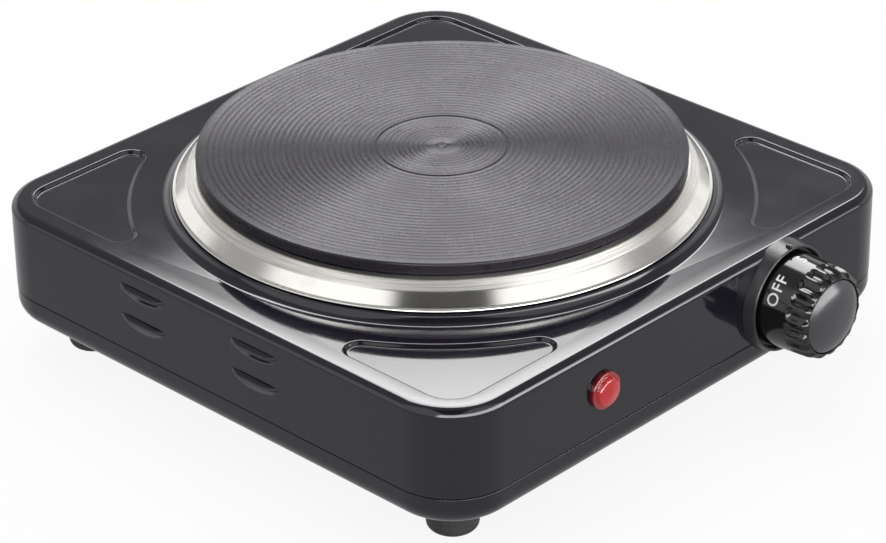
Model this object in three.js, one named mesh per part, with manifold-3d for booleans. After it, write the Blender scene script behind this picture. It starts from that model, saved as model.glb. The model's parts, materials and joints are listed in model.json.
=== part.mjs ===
// Hot plate burner with one cast-iron heating plate.
// Lengths are millimetres, +Z is up and the control knob faces -Y.
import * as THREE from 'three';
import { mergeVertices } from 'three/addons/utils/BufferGeometryUtils.js';
import Module from 'manifold-3d';

const wasm = await Module();
wasm.setup();

// Fits shared by every piece
const gap = 0.3; // clearance between pieces that touch, fit or turn in each other
const overrun = 2; // how far a cut reaches past the wall that it cuts
const weld = 0.0002; // vertices nearer than this are one vertex

// Facet counts
const facets = {
  plate: 48,
  hidden: 24,
  perFlute: 3,
  collar: 36,
  turned: 16,
  screw: 8,
  hex: 6,
  shellCorner: 6,
  panelCorner: 4,
  tip: 3,
  arc: 6,
  round: 3,
  bulgeAround: 8,
  bulgeAlong: 6,
  wireSides: 6,
  wireSteps: 12,
};

// Base cover, feet and the screws that hold them
const base = { height: 10.4, round: 4.6, sheet: 0.8, lipHeight: 3, lipRoot: 4 };
const vents = { count: 12, innerRadius: 24, outerRadius: 44, width: 4 };
const foot = { inset: 22.6, height: 13.2, topRadius: 7.8, bottomRadius: 7, round: 1.6, recess: 5 };
const screw = { radius: 1.9, headRadius: 3.7, headHeight: 2.4, footLength: 13, coverLength: 6.5 };

// Pressed steel housing: its height is counted from the seam with the base cover
const shell = { width: 205, depth: 205, height: 29.5, cornerRadius: 21, sheet: 0.8, topRound: 3 };
const platform = { height: 2.6, land: 0.5, sideRun: 3.3 };
// Down the platform's side: share of its run outwards, share of its height
const platformSideShares = [
  [0, 1],
  [0.16, 0.66],
  [0.45, 0.24],
  [1, -0.1],
];
// A panel's arc keeps clear of the platform by land, and passes the panel's sides by reach
const panel = {
  margin: 8.2,
  land: 9.5,
  reach: 3,
  cornerRadius: 10,
  tipRadius: 5,
  depth: 1.2,
  slope: 1.2,
};
// Louvres on each side wall: their places are shares of the half depth and of the wall's height
const louvre = { length: 20.5, height: 4.8, bulge: 1.8, edge: 0.8 };
const louvreShares = { front: -0.203, rear: 0.277, upper: 0.21, lower: 0.566 };
const bracket = { y: 45, width: 14, reach: 13, sheet: 1.2, clear: 0.6 };

// Heating plate: proud is how far its top stands above the platform
const plate = {
  radius: 77.5,
  proud: 12.6,
  edgeRound: 0.7,
  rimHeight: 3.5,
  neckUndercut: 2.2,
  neckHeight: 2.4,
  skirtSetback: 0.3,
  skirtHeight: 10.2,
  skirtWall: 4.2,
  thickness: 7,
  bossRadius: 9.5,
  studDepth: 9,
};
const plateRing = { radius: 20.8, width: 1.1, depth: 0.6 };
const plateCentre = { radius: 2.4, depth: 0.8 };

// Trim ring: runs are counted outwards from one bend to the next
const trim = { sheet: 0.6, clear: 0.5, kneeRun: 3, kneeDrop: 2.7, hemRun: 3.2, rimRun: 1, hem: 0.4 };

// What closes and fastens the plate from below
const cover = { setback: 1.2, sheet: 0.8 };
const shield = { setback: 7.2, sheet: 0.8, rim: 2.4 };
const stud = { radius: 2.5, tail: 1.5 };
const nut = { radius: 4.6, plateHeight: 3.5, clampHeight: 4 };
const washer = { radius: 8, thickness: 1 };
const bar = { width: 22, sheet: 1.5, clear: 0.8, flange: 4 };

// Element terminals in the plate's underside
const terminal = { y: 40, width: 24, depth: 12, stem: 9, flange: 2.7, flangeHeight: 2.7, pitch: 12 };
const pin = { radius: 1.2, rise: 4.5, tail: 5 };

// Places on the front and rear walls: share of the half width, share of the wall's height from the top
const controlShares = { out: 0.4215, drop: 0.59 };
const lampShares = { out: -0.3805, drop: 0.522 };
const inletShares = { drop: 0.454 };

// Control: rear, front and height are counted outwards from the front wall
const collar = {
  radius: 18.1,
  frontRadius: 17.7,
  lipRadius: 16.4,
  height: 4,
  back: 1.8,
  floor: 1.5,
  setback: 0.2,
  lipRound: 0.5,
};
const indexMark = { width: 0.9, raise: 0.35 };
const knob = {
  rear: 2.6,
  front: 22.4,
  rearRadius: 15.4,
  frontRadius: 14.2,
  shoulder: 3.2,
  faceRadius: 12.5,
  wall: 1.8,
  flutes: 18,
  fluteDepth: 1.1,
  fluteStart: 13.6,
  fluteRun: 1.5,
  fluteTurn: -13,
  cavityDepth: 14.5,
  hubRadius: 5.3,
  hubSetback: 0.8,
};
const cap = { radius: 11.8, thickness: 1.5, dome: 1.2 };
// The cap's face: share of its radius, share of its dome's height
const capFaceShares = [
  [1, -0.25],
  [0.93, 0.2],
  [0.7, 0.65],
  [0.35, 0.92],
  [0, 1],
];
const shaft = { radius: 3, flat: 2, flatStart: 2.9, reach: 12, tail: 6.5 };

// Thermostat behind the front wall
const frame = { width: 40, clear: 0.6, sheet: 1.5, screwPitch: 18 };
const frameScrew = { radius: 1.5, headRadius: 2.9, headHeight: 1.5, tail: 1 };
const stack = { offset: 15, width: 8, height: 12, front: 4.4, middle: 3.5, rear: 3 };
const blade = { width: 8, reach: 17, tail: 8, spring: 0.6, bimetal: 0.8 };
const contact = { inset: 3, radius: 1.6, break: 0.6 };
const rivet = { radius: 1.2, proud: 1 };

// Indicator lamp in the front wall
const lens = { flangeRadius: 6, flange: 1.3, domeRadius: 4.6, dome: 4.2, barrelRadius: 4.2, depth: 12 };
const lensInside = { bore: 3.2, roof: 1.2 };
// The lens dome: share of its radius, share of its height
const lensDomeShares = [
  [1, 0],
  [0.97, 0.5],
  [0.8, 0.82],
  [0.45, 0.97],
  [0, 1],
];
const lampClip = { radius: 7, sheet: 0.8 };
const bulb = { radius: 2.7, length: 11 };

// Cord inlet, mains terminals and earth
const gland = { bore: 3.7, neck: 7, outer: 9.5, outerHeight: 2.6, inner: 8.8, innerHeight: 2.5 };
// Insets are counted from the casing's left side and rear
const mainsInset = { x: 42.5, y: 38.5 };
const mainsSize = { width: 30, depth: 16, height: 14, wirePitch: 9 };
const mainsScrew = { radius: 1.5, headRadius: 2.8, headHeight: 1.6, tail: 1.2 };
const earthInset = { x: 86.5, y: 30.5 };
const earthTag = { radius: 4.2, sheet: 0.8, tail: 11, tailWidth: 4 };
const earthScrew = { radius: 1.7, headRadius: 3.6, headHeight: 2.4, tail: 1.4 };
const wire = { radius: 1.3, lead: 4, lowRise: 4.7, highRise: 16.7 };

// Levels and places worked out from the sizes above
const half = { x: shell.width / 2, y: shell.depth / 2 };
const baseBottom = foot.height + gap;
const baseFloor = baseBottom + base.sheet;
const seam = baseBottom + base.height;
const lipTop = seam + base.lipHeight;
const shellTop = seam + shell.height;
const platformTop = shellTop + platform.height;
const platformUnder = platformTop - shell.sheet;
const plateTop = platformTop + plate.proud;
const rimBottom = plateTop - plate.rimHeight;
const neckBottom = rimBottom - plate.neckHeight;
const skirtBottom = neckBottom - plate.skirtHeight;
const plateUnder = plateTop - plate.thickness;
const neckRadius = plate.radius - plate.neckUndercut;
const skirtRadius = plate.radius - plate.skirtSetback;
const skirtInner = skirtRadius - plate.skirtWall;
const trimTop = neckBottom + gap + trim.sheet;
const trimInner = plate.radius + trim.clear;
const trimKnee = trimInner + trim.kneeRun;
const trimHem = trimKnee + trim.hemRun;
const trimRim = trimHem + trim.rimRun;
const platformRadius = trimRim + platform.land;
const platformFoot = platformRadius + platform.sideRun;
const legInner = skirtRadius + bar.clear;
const legOuter = legInner + bar.sheet;
const coverTop = skirtBottom - gap;
const coverUnder = coverTop - cover.sheet;
const plateNutTop = coverUnder - gap;
const barTop = plateNutTop - nut.plateHeight - gap;
const barUnder = barTop - bar.sheet;
const shieldTop = barUnder - gap;
const shieldUnder = shieldTop - shield.sheet;
const washerTop = shieldUnder - gap;
const clampNutTop = washerTop - washer.thickness - gap;
const clampNutBottom = clampNutTop - nut.clampHeight;
const studTop = skirtBottom + plate.studDepth;
const terminalTop = skirtBottom + terminal.flangeHeight;
const terminalBottom = skirtBottom - terminal.stem;
const pinBottom = terminalBottom - pin.tail;
const bracketOuter = half.x - base.round - bracket.clear;
const bracketScrewX = bracketOuter - (bracket.reach + bracket.sheet) / 2;
const footX = half.x - foot.inset;
const footY = half.y - foot.inset;
const mains = { x: mainsInset.x - half.x, y: half.y - mainsInset.y };
const earth = { x: earthInset.x - half.x, y: half.y - earthInset.y };
const controlPlace = { x: controlShares.out * half.x, z: shellTop - controlShares.drop * shell.height };
const lampPlace = { x: lampShares.out * half.x, z: shellTop - lampShares.drop * shell.height };
const inletPlace = { x: mains.x, z: shellTop - inletShares.drop * shell.height };
const frameHeight = 2 * (controlPlace.z - lipTop - frame.clear);
const stackPlace = { x: controlPlace.x + stack.offset, z: controlPlace.z };
const screwPlaces = {
  left: { x: controlPlace.x - frame.screwPitch / 2, z: controlPlace.z },
  right: { x: controlPlace.x + frame.screwPitch / 2, z: controlPlace.z },
};
const pinPlaces = {
  neutral: { x: -terminal.pitch / 2, y: terminal.y },
  live: { x: terminal.pitch / 2, y: terminal.y },
};
const corners = {
  front_left: { x: -1, y: -1 },
  front_right: { x: 1, y: -1 },
  rear_left: { x: -1, y: 1 },
  rear_right: { x: 1, y: 1 },
};
const frameFront = shell.sheet + gap - half.y;
const frameRear = frameFront + frame.sheet;
const shaftTip = knob.rear + knob.hubSetback + shaft.reach;
const bulbRear = gap - bulb.length;
const mainsLow = baseFloor + gap;
const mainsTop = mainsLow + mainsSize.height;
const tagLow = baseFloor + gap;
const tagHigh = tagLow + earthTag.sheet;
const lowRun = baseFloor + wire.lowRise;
const highRun = baseFloor + wire.highRise;

const finish = {
  blackPaint: { color: 0x1d1d20, roughness: 0.28, metalness: 0 },
  castIron: { color: 0x2f2f31, roughness: 0.6, metalness: 0.4 },
  steel: { color: 0xd2d0cc, roughness: 0.25, metalness: 1 },
  zinc: { color: 0xa7a9ab, roughness: 0.45, metalness: 1 },
  brass: { color: 0xb6924a, roughness: 0.35, metalness: 1 },
  blackPlastic: { color: 0x121214, roughness: 0.15, metalness: 0 },
  satinPlastic: { color: 0x55555a, roughness: 0.4, metalness: 0 },
  redLens: { color: 0xc22a26, roughness: 0.12, metalness: 0 },
  glass: { color: 0xf0e6dc, roughness: 0.05, metalness: 0 },
  ceramic: { color: 0xe6dfd0, roughness: 0.7, metalness: 0 },
  rubber: { color: 0x17171a, roughness: 0.75, metalness: 0 },
  wireRed: { color: 0x9a2a22, roughness: 0.5, metalness: 0 },
  wireBlue: { color: 0x2a4a8a, roughness: 0.5, metalness: 0 },
  wireGreen: { color: 0x3f7a35, roughness: 0.5, metalness: 0 },
};

// Turns a closed three.js geometry into a solid with its faces pointing out.
function solid(geometry) {
  const bare = new THREE.BufferGeometry();
  bare.setAttribute('position', geometry.getAttribute('position'));
  bare.setIndex(geometry.index);
  const merged = mergeVertices(bare, weld);
  const points = merged.getAttribute('position').array;
  const vertices = merged.index.array;
  const triangles = [];
  let volume = 0;
  for (let i = 0; i < vertices.length; i += 3) {
    const triangle = [vertices[i], vertices[i + 1], vertices[i + 2]];
    if (new Set(triangle).size < 3) continue;
    const [a, b, c] = triangle.map((v) => new THREE.Vector3().fromArray(points, v * 3));
    volume += a.dot(b.cross(c));
    triangles.push(triangle);
  }
  if (volume < 0) triangles.forEach((triangle) => triangle.reverse());
  return new wasm.Manifold(
    new wasm.Mesh({
      numProp: 3,
      vertProperties: new Float32Array(points),
      triVerts: new Uint32Array(triangles.flat()),
    }),
  );
}

// A profile of [radius, height] points, closed or ending on the axis, turned about Z.
function turned(profile, steps = facets.turned) {
  const points = profile.map(([radius, height]) => new THREE.Vector2(radius, height));
  return solid(new THREE.LatheGeometry(points, steps).rotateX(Math.PI / 2));
}

// A ring-shaped profile that comes back to its first point.
function turnedRing(profile, steps = facets.turned) {
  return turned([...profile, profile[0]], steps);
}

function rod(radius, low, high, steps = facets.turned) {
  const profile = [
    [0, low],
    [radius, low],
    [radius, high],
    [0, high],
  ];
  return turned(profile, steps);
}

// A hole's cutter, from below low to above high.
function drill(radius, low, high, steps = facets.screw) {
  return rod(radius, low - overrun, high + overrun, steps);
}

function washerBody(radius, hole, low, high, steps = facets.turned) {
  const profile = [
    [hole, low],
    [radius, low],
    [radius, high],
    [hole, high],
  ];
  return turnedRing(profile, steps);
}

function block(x, y, z) {
  const box = new THREE.BoxGeometry(x[1] - x[0], y[1] - y[0], z[1] - z[0]);
  return solid(box.translate((x[0] + x[1]) / 2, (y[0] + y[1]) / 2, (z[0] + z[1]) / 2));
}

function span(centre, width) {
  return [centre - width / 2, centre + width / 2];
}

// A range on X that is the same distance out on the left (side -1) or on the right (side 1).
function sided(side, inner, outer) {
  return side > 0 ? [inner, outer] : [-outer, -inner];
}

// Moves a solid that was made round the Z axis to a place with x and y.
function at(body, place) {
  return body.translate([place.x, place.y, 0]);
}

// Lays a solid that was made round the Z axis on the front wall: its height becomes the distance out.
function onFront(body, place) {
  return body.rotate([90, 0, 0]).translate([place.x, -half.y, place.z]);
}

function onRear(body, place) {
  return body.rotate([-90, 0, 0]).translate([place.x, half.y, place.z]);
}

function unite(bodies) {
  return bodies.reduce((sum, body) => sum.add(body));
}

function cut(body, holes) {
  return holes.reduce((rest, hole) => rest.subtract(hole), body);
}

// The flat end of a loft as triangles that turn the same way as its outline.
function endFaces(ring) {
  const contour = ring.map((p) => new THREE.Vector2(p.x, p.y));
  return THREE.ShapeUtils.triangulateShape(contour, []).map(([a, b, c]) => {
    const area = THREE.ShapeUtils.area([contour[a], contour[b], contour[c]]);
    return area < 0 ? [a, c, b] : [a, b, c];
  });
}

// Joins outlines of equal point counts, each at its own height, into one closed body.
function loft(levels) {
  const rings = levels.map(({ outline, z }) => {
    const ordered = THREE.ShapeUtils.isClockWise(outline) ? [...outline].reverse() : outline;
    return ordered.map((p) => new THREE.Vector3(p.x, p.y, z));
  });
  const count = rings[0].length;
  const last = (rings.length - 1) * count;
  const index = [];
  for (let start = 0; start < last; start += count) {
    for (let i = 0; i < count; i += 1) {
      const a = start + i;
      const b = start + ((i + 1) % count);
      index.push(a, b, b + count, a, b + count, a + count);
    }
  }
  endFaces(rings[0]).forEach(([a, b, c]) => index.push(a, c, b));
  endFaces(rings.at(-1)).forEach(([a, b, c]) => index.push(last + a, last + b, last + c));
  const geometry = new THREE.BufferGeometry().setFromPoints(rings.flat());
  geometry.setIndex(index);
  return solid(geometry);
}

function arcPoints(x, y, radius, start, end, steps) {
  return Array.from({ length: steps + 1 }, (_, i) => {
    const angle = THREE.MathUtils.lerp(start, end, i / steps);
    return new THREE.Vector2(x + radius * Math.cos(angle), y + radius * Math.sin(angle));
  });
}

// The casing's rounded square, drawn in by inset.
function shellOutline(inset) {
  const radius = shell.cornerRadius - inset;
  const x = half.x - shell.cornerRadius;
  const y = half.y - shell.cornerRadius;
  const quarter = Math.PI / 2;
  return [
    ...arcPoints(x, y, radius, 0, quarter, facets.shellCorner),
    ...arcPoints(-x, y, radius, quarter, 2 * quarter, facets.shellCorner),
    ...arcPoints(-x, -y, radius, 2 * quarter, 3 * quarter, facets.shellCorner),
    ...arcPoints(x, -y, radius, 3 * quarter, 4 * quarter, facets.shellCorner),
  ];
}

// The housing's outer or inner skin: offset is how far the skin lies inside the outer faces.
function shellSkin(offset, low) {
  const radius = shell.topRound - Math.min(offset, shell.topRound / 2);
  const spring = shellTop - offset - radius;
  const rounded = Array.from({ length: facets.round + 1 }, (_, i) => {
    const angle = (Math.PI / 2) * (i / facets.round);
    const inset = offset + radius * (1 - Math.cos(angle));
    return { outline: shellOutline(inset), z: spring + radius * Math.sin(angle) };
  });
  return loft([{ outline: shellOutline(offset), z: low }, ...rounded]);
}

function platformSkin(offset) {
  const low = shellTop - shell.sheet / 2 - offset;
  const side = platformSideShares.map(([out, up]) => [
    platformRadius + platform.sideRun * out - offset,
    shellTop + platform.height * up - offset,
  ]);
  return turned([[0, platformTop - offset], ...side, [side.at(-1)[0], low], [0, low]], facets.plate);
}

// One corner panel's outline in the quarter where x and y are positive, grown outwards by grow.
function panelOutline(grow) {
  const x = half.x - panel.margin + grow;
  const y = half.y - panel.margin + grow;
  const corner = panel.cornerRadius + grow;
  const tip = panel.tipRadius + grow;
  const arc = Math.max(platformFoot + panel.land, Math.max(x, y) - grow + panel.reach) - grow;
  const tipX = Math.sqrt((arc + tip) ** 2 - (y - tip) ** 2);
  const tipY = Math.sqrt((arc + tip) ** 2 - (x - tip) ** 2);
  const upper = Math.atan2(y - tip, tipX);
  const lower = Math.atan2(tipY, x - tip);
  return [
    ...arcPoints(x - corner, y - corner, corner, 0, Math.PI / 2, facets.panelCorner),
    ...arcPoints(tipX, y - tip, tip, Math.PI / 2, Math.PI + upper, facets.tip),
    ...arcPoints(0, 0, arc, upper, lower, facets.arc).slice(1, -1),
    ...arcPoints(x - tip, tipY, tip, Math.PI + lower, 2 * Math.PI, facets.tip),
  ];
}

// The tapered block of a corner panel, from its floor up past the top face.
function panelBlock(corner, floor, grow) {
  const level = (spread, z) => ({
    outline: panelOutline(grow + spread).map((p) => new THREE.Vector2(corner.x * p.x, corner.y * p.y)),
    z,
  });
  return loft([level(-panel.slope, floor), level(panel.slope, floor + 2 * panel.depth)]);
}

function louvrePlaces() {
  const { front, rear, upper, lower } = louvreShares;
  const places = [];
  for (const side of [-1, 1]) {
    for (const along of [front, rear]) {
      for (const drop of [upper, lower]) {
        places.push({ side, y: along * half.y, z: shellTop - drop * shell.height });
      }
    }
  }
  return places;
}

// A louvre's pressed bulge on one skin of a side wall, flat and open along its upper edge.
function louvreBulge({ side, y, z }, skin, edge) {
  const ball = new THREE.SphereGeometry(1, facets.bulgeAround, facets.bulgeAlong);
  ball.scale(louvre.bulge, louvre.length / 2 - edge, louvre.height - edge);
  const x = span(0, 2 * (louvre.bulge + overrun));
  const above = block(x, span(0, louvre.length + overrun), [0, louvre.height + overrun]);
  return solid(ball).subtract(above).translate([side * skin, y, z]);
}

// A welded bracket that takes a cover screw: foot tab, upright and the flange on the side wall.
function screwBracket({ x: side, y: end }) {
  const inner = bracketOuter - bracket.sheet;
  const low = baseFloor + gap;
  const web = lipTop + gap;
  const y = span(end * bracket.y, bracket.width);
  const tab = block(sided(side, bracketOuter - bracket.reach, bracketOuter), y, [low, low + bracket.sheet]);
  const upright = block(sided(side, inner, bracketOuter), y, [low, web + bracket.sheet]);
  const flange = block(sided(side, inner, half.x - shell.sheet / 2), y, [web, web + bracket.sheet]);
  const place = { x: side * bracketScrewX, y: end * bracket.y };
  return unite([tab, upright, flange]).subtract(at(drill(screw.radius + gap, low, low), place));
}

function housingBody() {
  const recess = shellTop - panel.depth;
  let outer = shellSkin(0, seam).add(platformSkin(0));
  let hollow = shellSkin(shell.sheet, seam - overrun).add(platformSkin(shell.sheet));
  for (const corner of Object.values(corners)) {
    outer = outer.subtract(panelBlock(corner, recess, 0));
    hollow = hollow.subtract(panelBlock(corner, recess - shell.sheet, shell.sheet / 2));
  }
  for (const place of louvrePlaces()) {
    outer = outer.add(louvreBulge(place, half.x, 0));
    hollow = hollow.add(louvreBulge(place, half.x - shell.sheet, louvre.edge));
  }
  const body = unite([outer.subtract(hollow), ...Object.values(corners).map(screwBracket)]);
  return cut(body, [
    onFront(drill(shaft.radius + 2 * gap, -shell.sheet, 0, facets.turned), controlPlace),
    onFront(drill(frameScrew.radius + gap, -shell.sheet, 0), screwPlaces.left),
    onFront(drill(frameScrew.radius + gap, -shell.sheet, 0), screwPlaces.right),
    onFront(drill(lens.barrelRadius + gap, -shell.sheet, 0, facets.turned), lampPlace),
    onRear(drill(gland.neck + gap, -shell.sheet, 0, facets.turned), inletPlace),
    drill(legOuter + gap, platformUnder, platformTop, facets.plate),
  ]);
}

// The base cover's rounded lower edge, on its outer or its inner skin.
function baseRounding(radius, floor) {
  return Array.from({ length: facets.round + 1 }, (_, i) => {
    const angle = (Math.PI / 2) * (i / facets.round);
    const inset = base.round - radius * Math.sin(angle);
    return { outline: shellOutline(inset), z: floor + radius * (1 - Math.cos(angle)) };
  });
}

function baseCover() {
  const root = seam - base.lipRoot;
  const lipOuter = shell.sheet + gap;
  const lipInner = lipOuter + base.sheet;
  const rim = { outline: shellOutline(0), z: seam - gap };
  const tray = loft([...baseRounding(base.round, baseBottom), rim]);
  const lip = loft([
    { outline: shellOutline(lipOuter), z: root },
    { outline: shellOutline(lipOuter), z: lipTop },
  ]);
  const hollow = loft([
    ...baseRounding(base.round - base.sheet, baseFloor),
    { outline: shellOutline(base.sheet), z: root },
    { outline: shellOutline(lipInner), z: root + base.sheet },
    { outline: shellOutline(lipInner), z: lipTop + overrun },
  ]);
  const slots = Array.from({ length: vents.count }, (_, i) => {
    const z = [baseBottom - overrun, baseFloor + overrun];
    const slot = block([vents.innerRadius, vents.outerRadius], span(0, vents.width), z);
    return slot.rotate([0, 0, (360 * (i + 0.5)) / vents.count]);
  });
  const hole = (radius, place) => at(drill(radius + gap, baseBottom, baseFloor), place);
  const screwHoles = Object.values(corners).flatMap(({ x, y }) => [
    hole(screw.radius, { x: x * footX, y: y * footY }),
    hole(screw.radius, { x: x * bracketScrewX, y: y * bracket.y }),
  ]);
  const others = [hole(mainsScrew.radius, mains), hole(earthScrew.radius, earth)];
  return cut(tray.add(lip).subtract(hollow), [...slots, ...screwHoles, ...others]);
}

function footBody() {
  const bore = screw.radius + gap;
  const recess = screw.headRadius + 2 * gap;
  return turnedRing([
    [recess, 0],
    [foot.bottomRadius - foot.round, 0],
    [foot.bottomRadius, foot.round],
    [foot.topRadius, foot.height],
    [bore, foot.height],
    [bore, foot.recess],
    [recess, foot.recess],
  ]);
}

// A screw driven upwards: its head's upper side lies at seat.
function risingScrew(seat, length) {
  const low = seat - screw.headHeight;
  const profile = [
    [0, low + screw.headHeight / 3],
    [screw.headRadius / 2, low],
    [screw.headRadius, low + screw.headHeight / 2],
    [screw.headRadius, seat],
    [screw.radius, seat],
    [screw.radius, seat + length - screw.radius],
    [0, seat + length],
  ];
  return turned(profile, facets.screw);
}

// A screw or rivet from tip up to a head that starts at seat.
function headedPin(size, tip, seat) {
  const profile = [
    [0, tip],
    [size.radius, tip],
    [size.radius, seat],
    [size.headRadius, seat],
    [size.headRadius, seat + size.headHeight / 2],
    [size.headRadius / 2, seat + size.headHeight],
    [0, seat + size.headHeight],
  ];
  return turned(profile, facets.screw);
}

function plateBody() {
  const studRadius = stud.radius + gap;
  const studRoof = studTop + gap;
  const profile = [
    [0, plateTop - plateCentre.depth],
    [plateCentre.radius, plateTop],
    [plateRing.radius - plateRing.width / 2, plateTop],
    [plateRing.radius, plateTop - plateRing.depth],
    [plateRing.radius + plateRing.width / 2, plateTop],
    [plate.radius - plate.edgeRound, plateTop],
    [plate.radius, plateTop - plate.edgeRound],
    [plate.radius, rimBottom],
    [neckRadius, rimBottom],
    [neckRadius, neckBottom],
    [skirtRadius, neckBottom],
    [skirtRadius, skirtBottom],
    [skirtInner, skirtBottom],
    [skirtInner, plateUnder],
    [plate.bossRadius, plateUnder],
    [plate.bossRadius, skirtBottom],
    [studRadius, skirtBottom],
    [studRadius, studRoof],
    [0, studRoof],
  ];
  return turned(profile, facets.plate);
}

function trimRing() {
  const rimTop = platformTop + gap + trim.sheet;
  const lean = trim.sheet * Math.SQRT2;
  const profile = [
    [neckRadius + gap, trimTop - trim.sheet],
    [neckRadius + gap, trimTop],
    [trimInner, trimTop],
    [trimKnee, trimTop - trim.kneeDrop],
    [trimHem, rimTop + trim.hem],
    [trimRim, rimTop],
    [trimRim, rimTop - trim.sheet],
    [trimHem - lean / 2, rimTop - trim.sheet],
    [trimKnee - lean, trimTop - trim.kneeDrop],
    [trimInner - lean / 2, trimTop - trim.sheet],
  ];
  return turnedRing(profile, facets.plate);
}

// A block with the terminal stem's outline, grown all round.
function terminalBlock(grow, low, high) {
  const x = span(0, terminal.width + 2 * grow);
  return block(x, span(terminal.y, terminal.depth + 2 * grow), [low, high]);
}

function elementInfill() {
  const pocket = terminalTop + gap;
  const inner = plate.bossRadius + gap;
  const body = washerBody(skirtInner - 2 * gap, inner, skirtBottom, plateUnder - gap, facets.hidden);
  return cut(body, [
    terminalBlock(terminal.flange + gap, skirtBottom - overrun, pocket),
    at(rod(pin.radius + gap, terminalTop, terminalTop + pin.rise, facets.screw), pinPlaces.neutral),
    at(rod(pin.radius + gap, terminalTop, terminalTop + pin.rise, facets.screw), pinPlaces.live),
  ]);
}

function elementTerminals() {
  const flange = terminalBlock(terminal.flange, skirtBottom, terminalTop);
  const body = flange.add(terminalBlock(0, terminalBottom, terminalTop));
  return cut(body, [
    at(drill(pin.radius + gap, terminalBottom, terminalTop), pinPlaces.neutral),
    at(drill(pin.radius + gap, terminalBottom, terminalTop), pinPlaces.live),
  ]);
}

function elementPin(place) {
  return at(rod(pin.radius, pinBottom, terminalTop + pin.rise - gap, facets.screw), place);
}

function bottomCover() {
  const radius = skirtRadius - cover.setback;
  const body = washerBody(radius, stud.radius + gap, coverUnder, coverTop, facets.hidden);
  return body.subtract(terminalBlock(gap, coverUnder - overrun, coverTop + overrun));
}

function heatShield() {
  const outer = skirtRadius - shield.setback;
  const inner = outer - shield.sheet;
  const profile = [
    [stud.radius + gap, shieldUnder],
    [inner, shieldUnder],
    [inner, shieldUnder - shield.rim],
    [outer, shieldUnder - shield.rim],
    [outer, shieldTop],
    [stud.radius + gap, shieldTop],
  ];
  const opening = terminalBlock(terminal.flange, shieldUnder - overrun, shieldTop + overrun);
  return turnedRing(profile, facets.hidden).subtract(opening);
}

// The bar crosses under the plate, and its stepped ends press up under the platform.
function clampBar() {
  const y = span(0, bar.width);
  const top = platformUnder - gap;
  const middle = block([-legOuter, legOuter], y, [barUnder, barTop]);
  const ends = [-1, 1].flatMap((side) => [
    block(sided(side, legInner, legOuter), y, [barUnder, top]),
    block(sided(side, legInner, legOuter + bar.flange), y, [top - bar.sheet, top]),
  ]);
  return unite([middle, ...ends]).subtract(drill(stud.radius + gap, barUnder, barTop));
}

function hexNut(low, high) {
  return rod(nut.radius, low, high, facets.hex).subtract(drill(stud.radius + gap, low, high));
}

// The knob's outline at a distance out from the wall, with its grip flutes.
function knobOutline(out) {
  const { inverseLerp, lerp, smoothstep, degToRad } = THREE.MathUtils;
  const grip = Math.min(inverseLerp(knob.rear, knob.front - knob.shoulder, out), 1);
  const rounding = Math.max(inverseLerp(knob.front - knob.shoulder, knob.front, out), 0);
  const cone = lerp(knob.rearRadius, knob.frontRadius, grip);
  const radius = cone - (knob.frontRadius - knob.faceRadius) * (1 - Math.sqrt(1 - rounding ** 2));
  const rise = smoothstep(out, knob.fluteStart, knob.fluteStart + knob.fluteRun);
  const fall = 1 - smoothstep(out, knob.front - knob.fluteRun, knob.front);
  const count = knob.flutes * facets.perFlute;
  return Array.from({ length: count }, (_, i) => {
    const turn = (2 * Math.PI * i) / count;
    const scoop = knob.fluteDepth * rise * fall * (0.5 + 0.5 * Math.cos(knob.flutes * turn));
    const angle = turn + degToRad(90 - knob.fluteTurn);
    return new THREE.Vector2(Math.cos(angle), Math.sin(angle)).multiplyScalar(radius - scoop);
  });
}

function knobBody() {
  const rows = [
    knob.rear,
    knob.fluteStart,
    knob.fluteStart + knob.fluteRun,
    knob.front - knob.shoulder,
    knob.front - knob.fluteRun,
    knob.front - knob.fluteRun / 3,
    knob.front,
  ];
  const skin = loft(rows.map((out) => ({ outline: knobOutline(out), z: out })));
  const cavityEnd = knob.rear + knob.cavityDepth;
  const cavity = turned([
    [0, knob.rear - overrun],
    [knob.rearRadius - knob.wall, knob.rear - overrun],
    [knob.frontRadius - knob.wall - knob.fluteDepth, cavityEnd],
    [0, cavityEnd],
  ]);
  const hubRear = knob.rear + knob.hubSetback;
  const hub = rod(knob.hubRadius, hubRear, cavityEnd + knob.wall);
  const seat = drill(cap.radius + gap, knob.front - cap.thickness - gap + overrun, knob.front, facets.hidden);
  const boreEnd = shaftTip + gap;
  const flat = block(
    [shaft.flat + gap, shaft.radius + overrun],
    span(0, 2 * knob.hubRadius),
    [hubRear - 2 * overrun, boreEnd + overrun],
  );
  const bore = rod(shaft.radius + gap, hubRear - overrun, boreEnd).subtract(flat);
  return onFront(cut(skin.subtract(cavity).add(hub), [seat, bore]), controlPlace);
}

function knobCap() {
  const low = knob.front - cap.thickness;
  const face = capFaceShares.map(([out, up]) => [cap.radius * out, knob.front + cap.dome * up]);
  return onFront(turned([[0, low], [cap.radius, low], ...face], facets.hidden), controlPlace);
}

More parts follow.
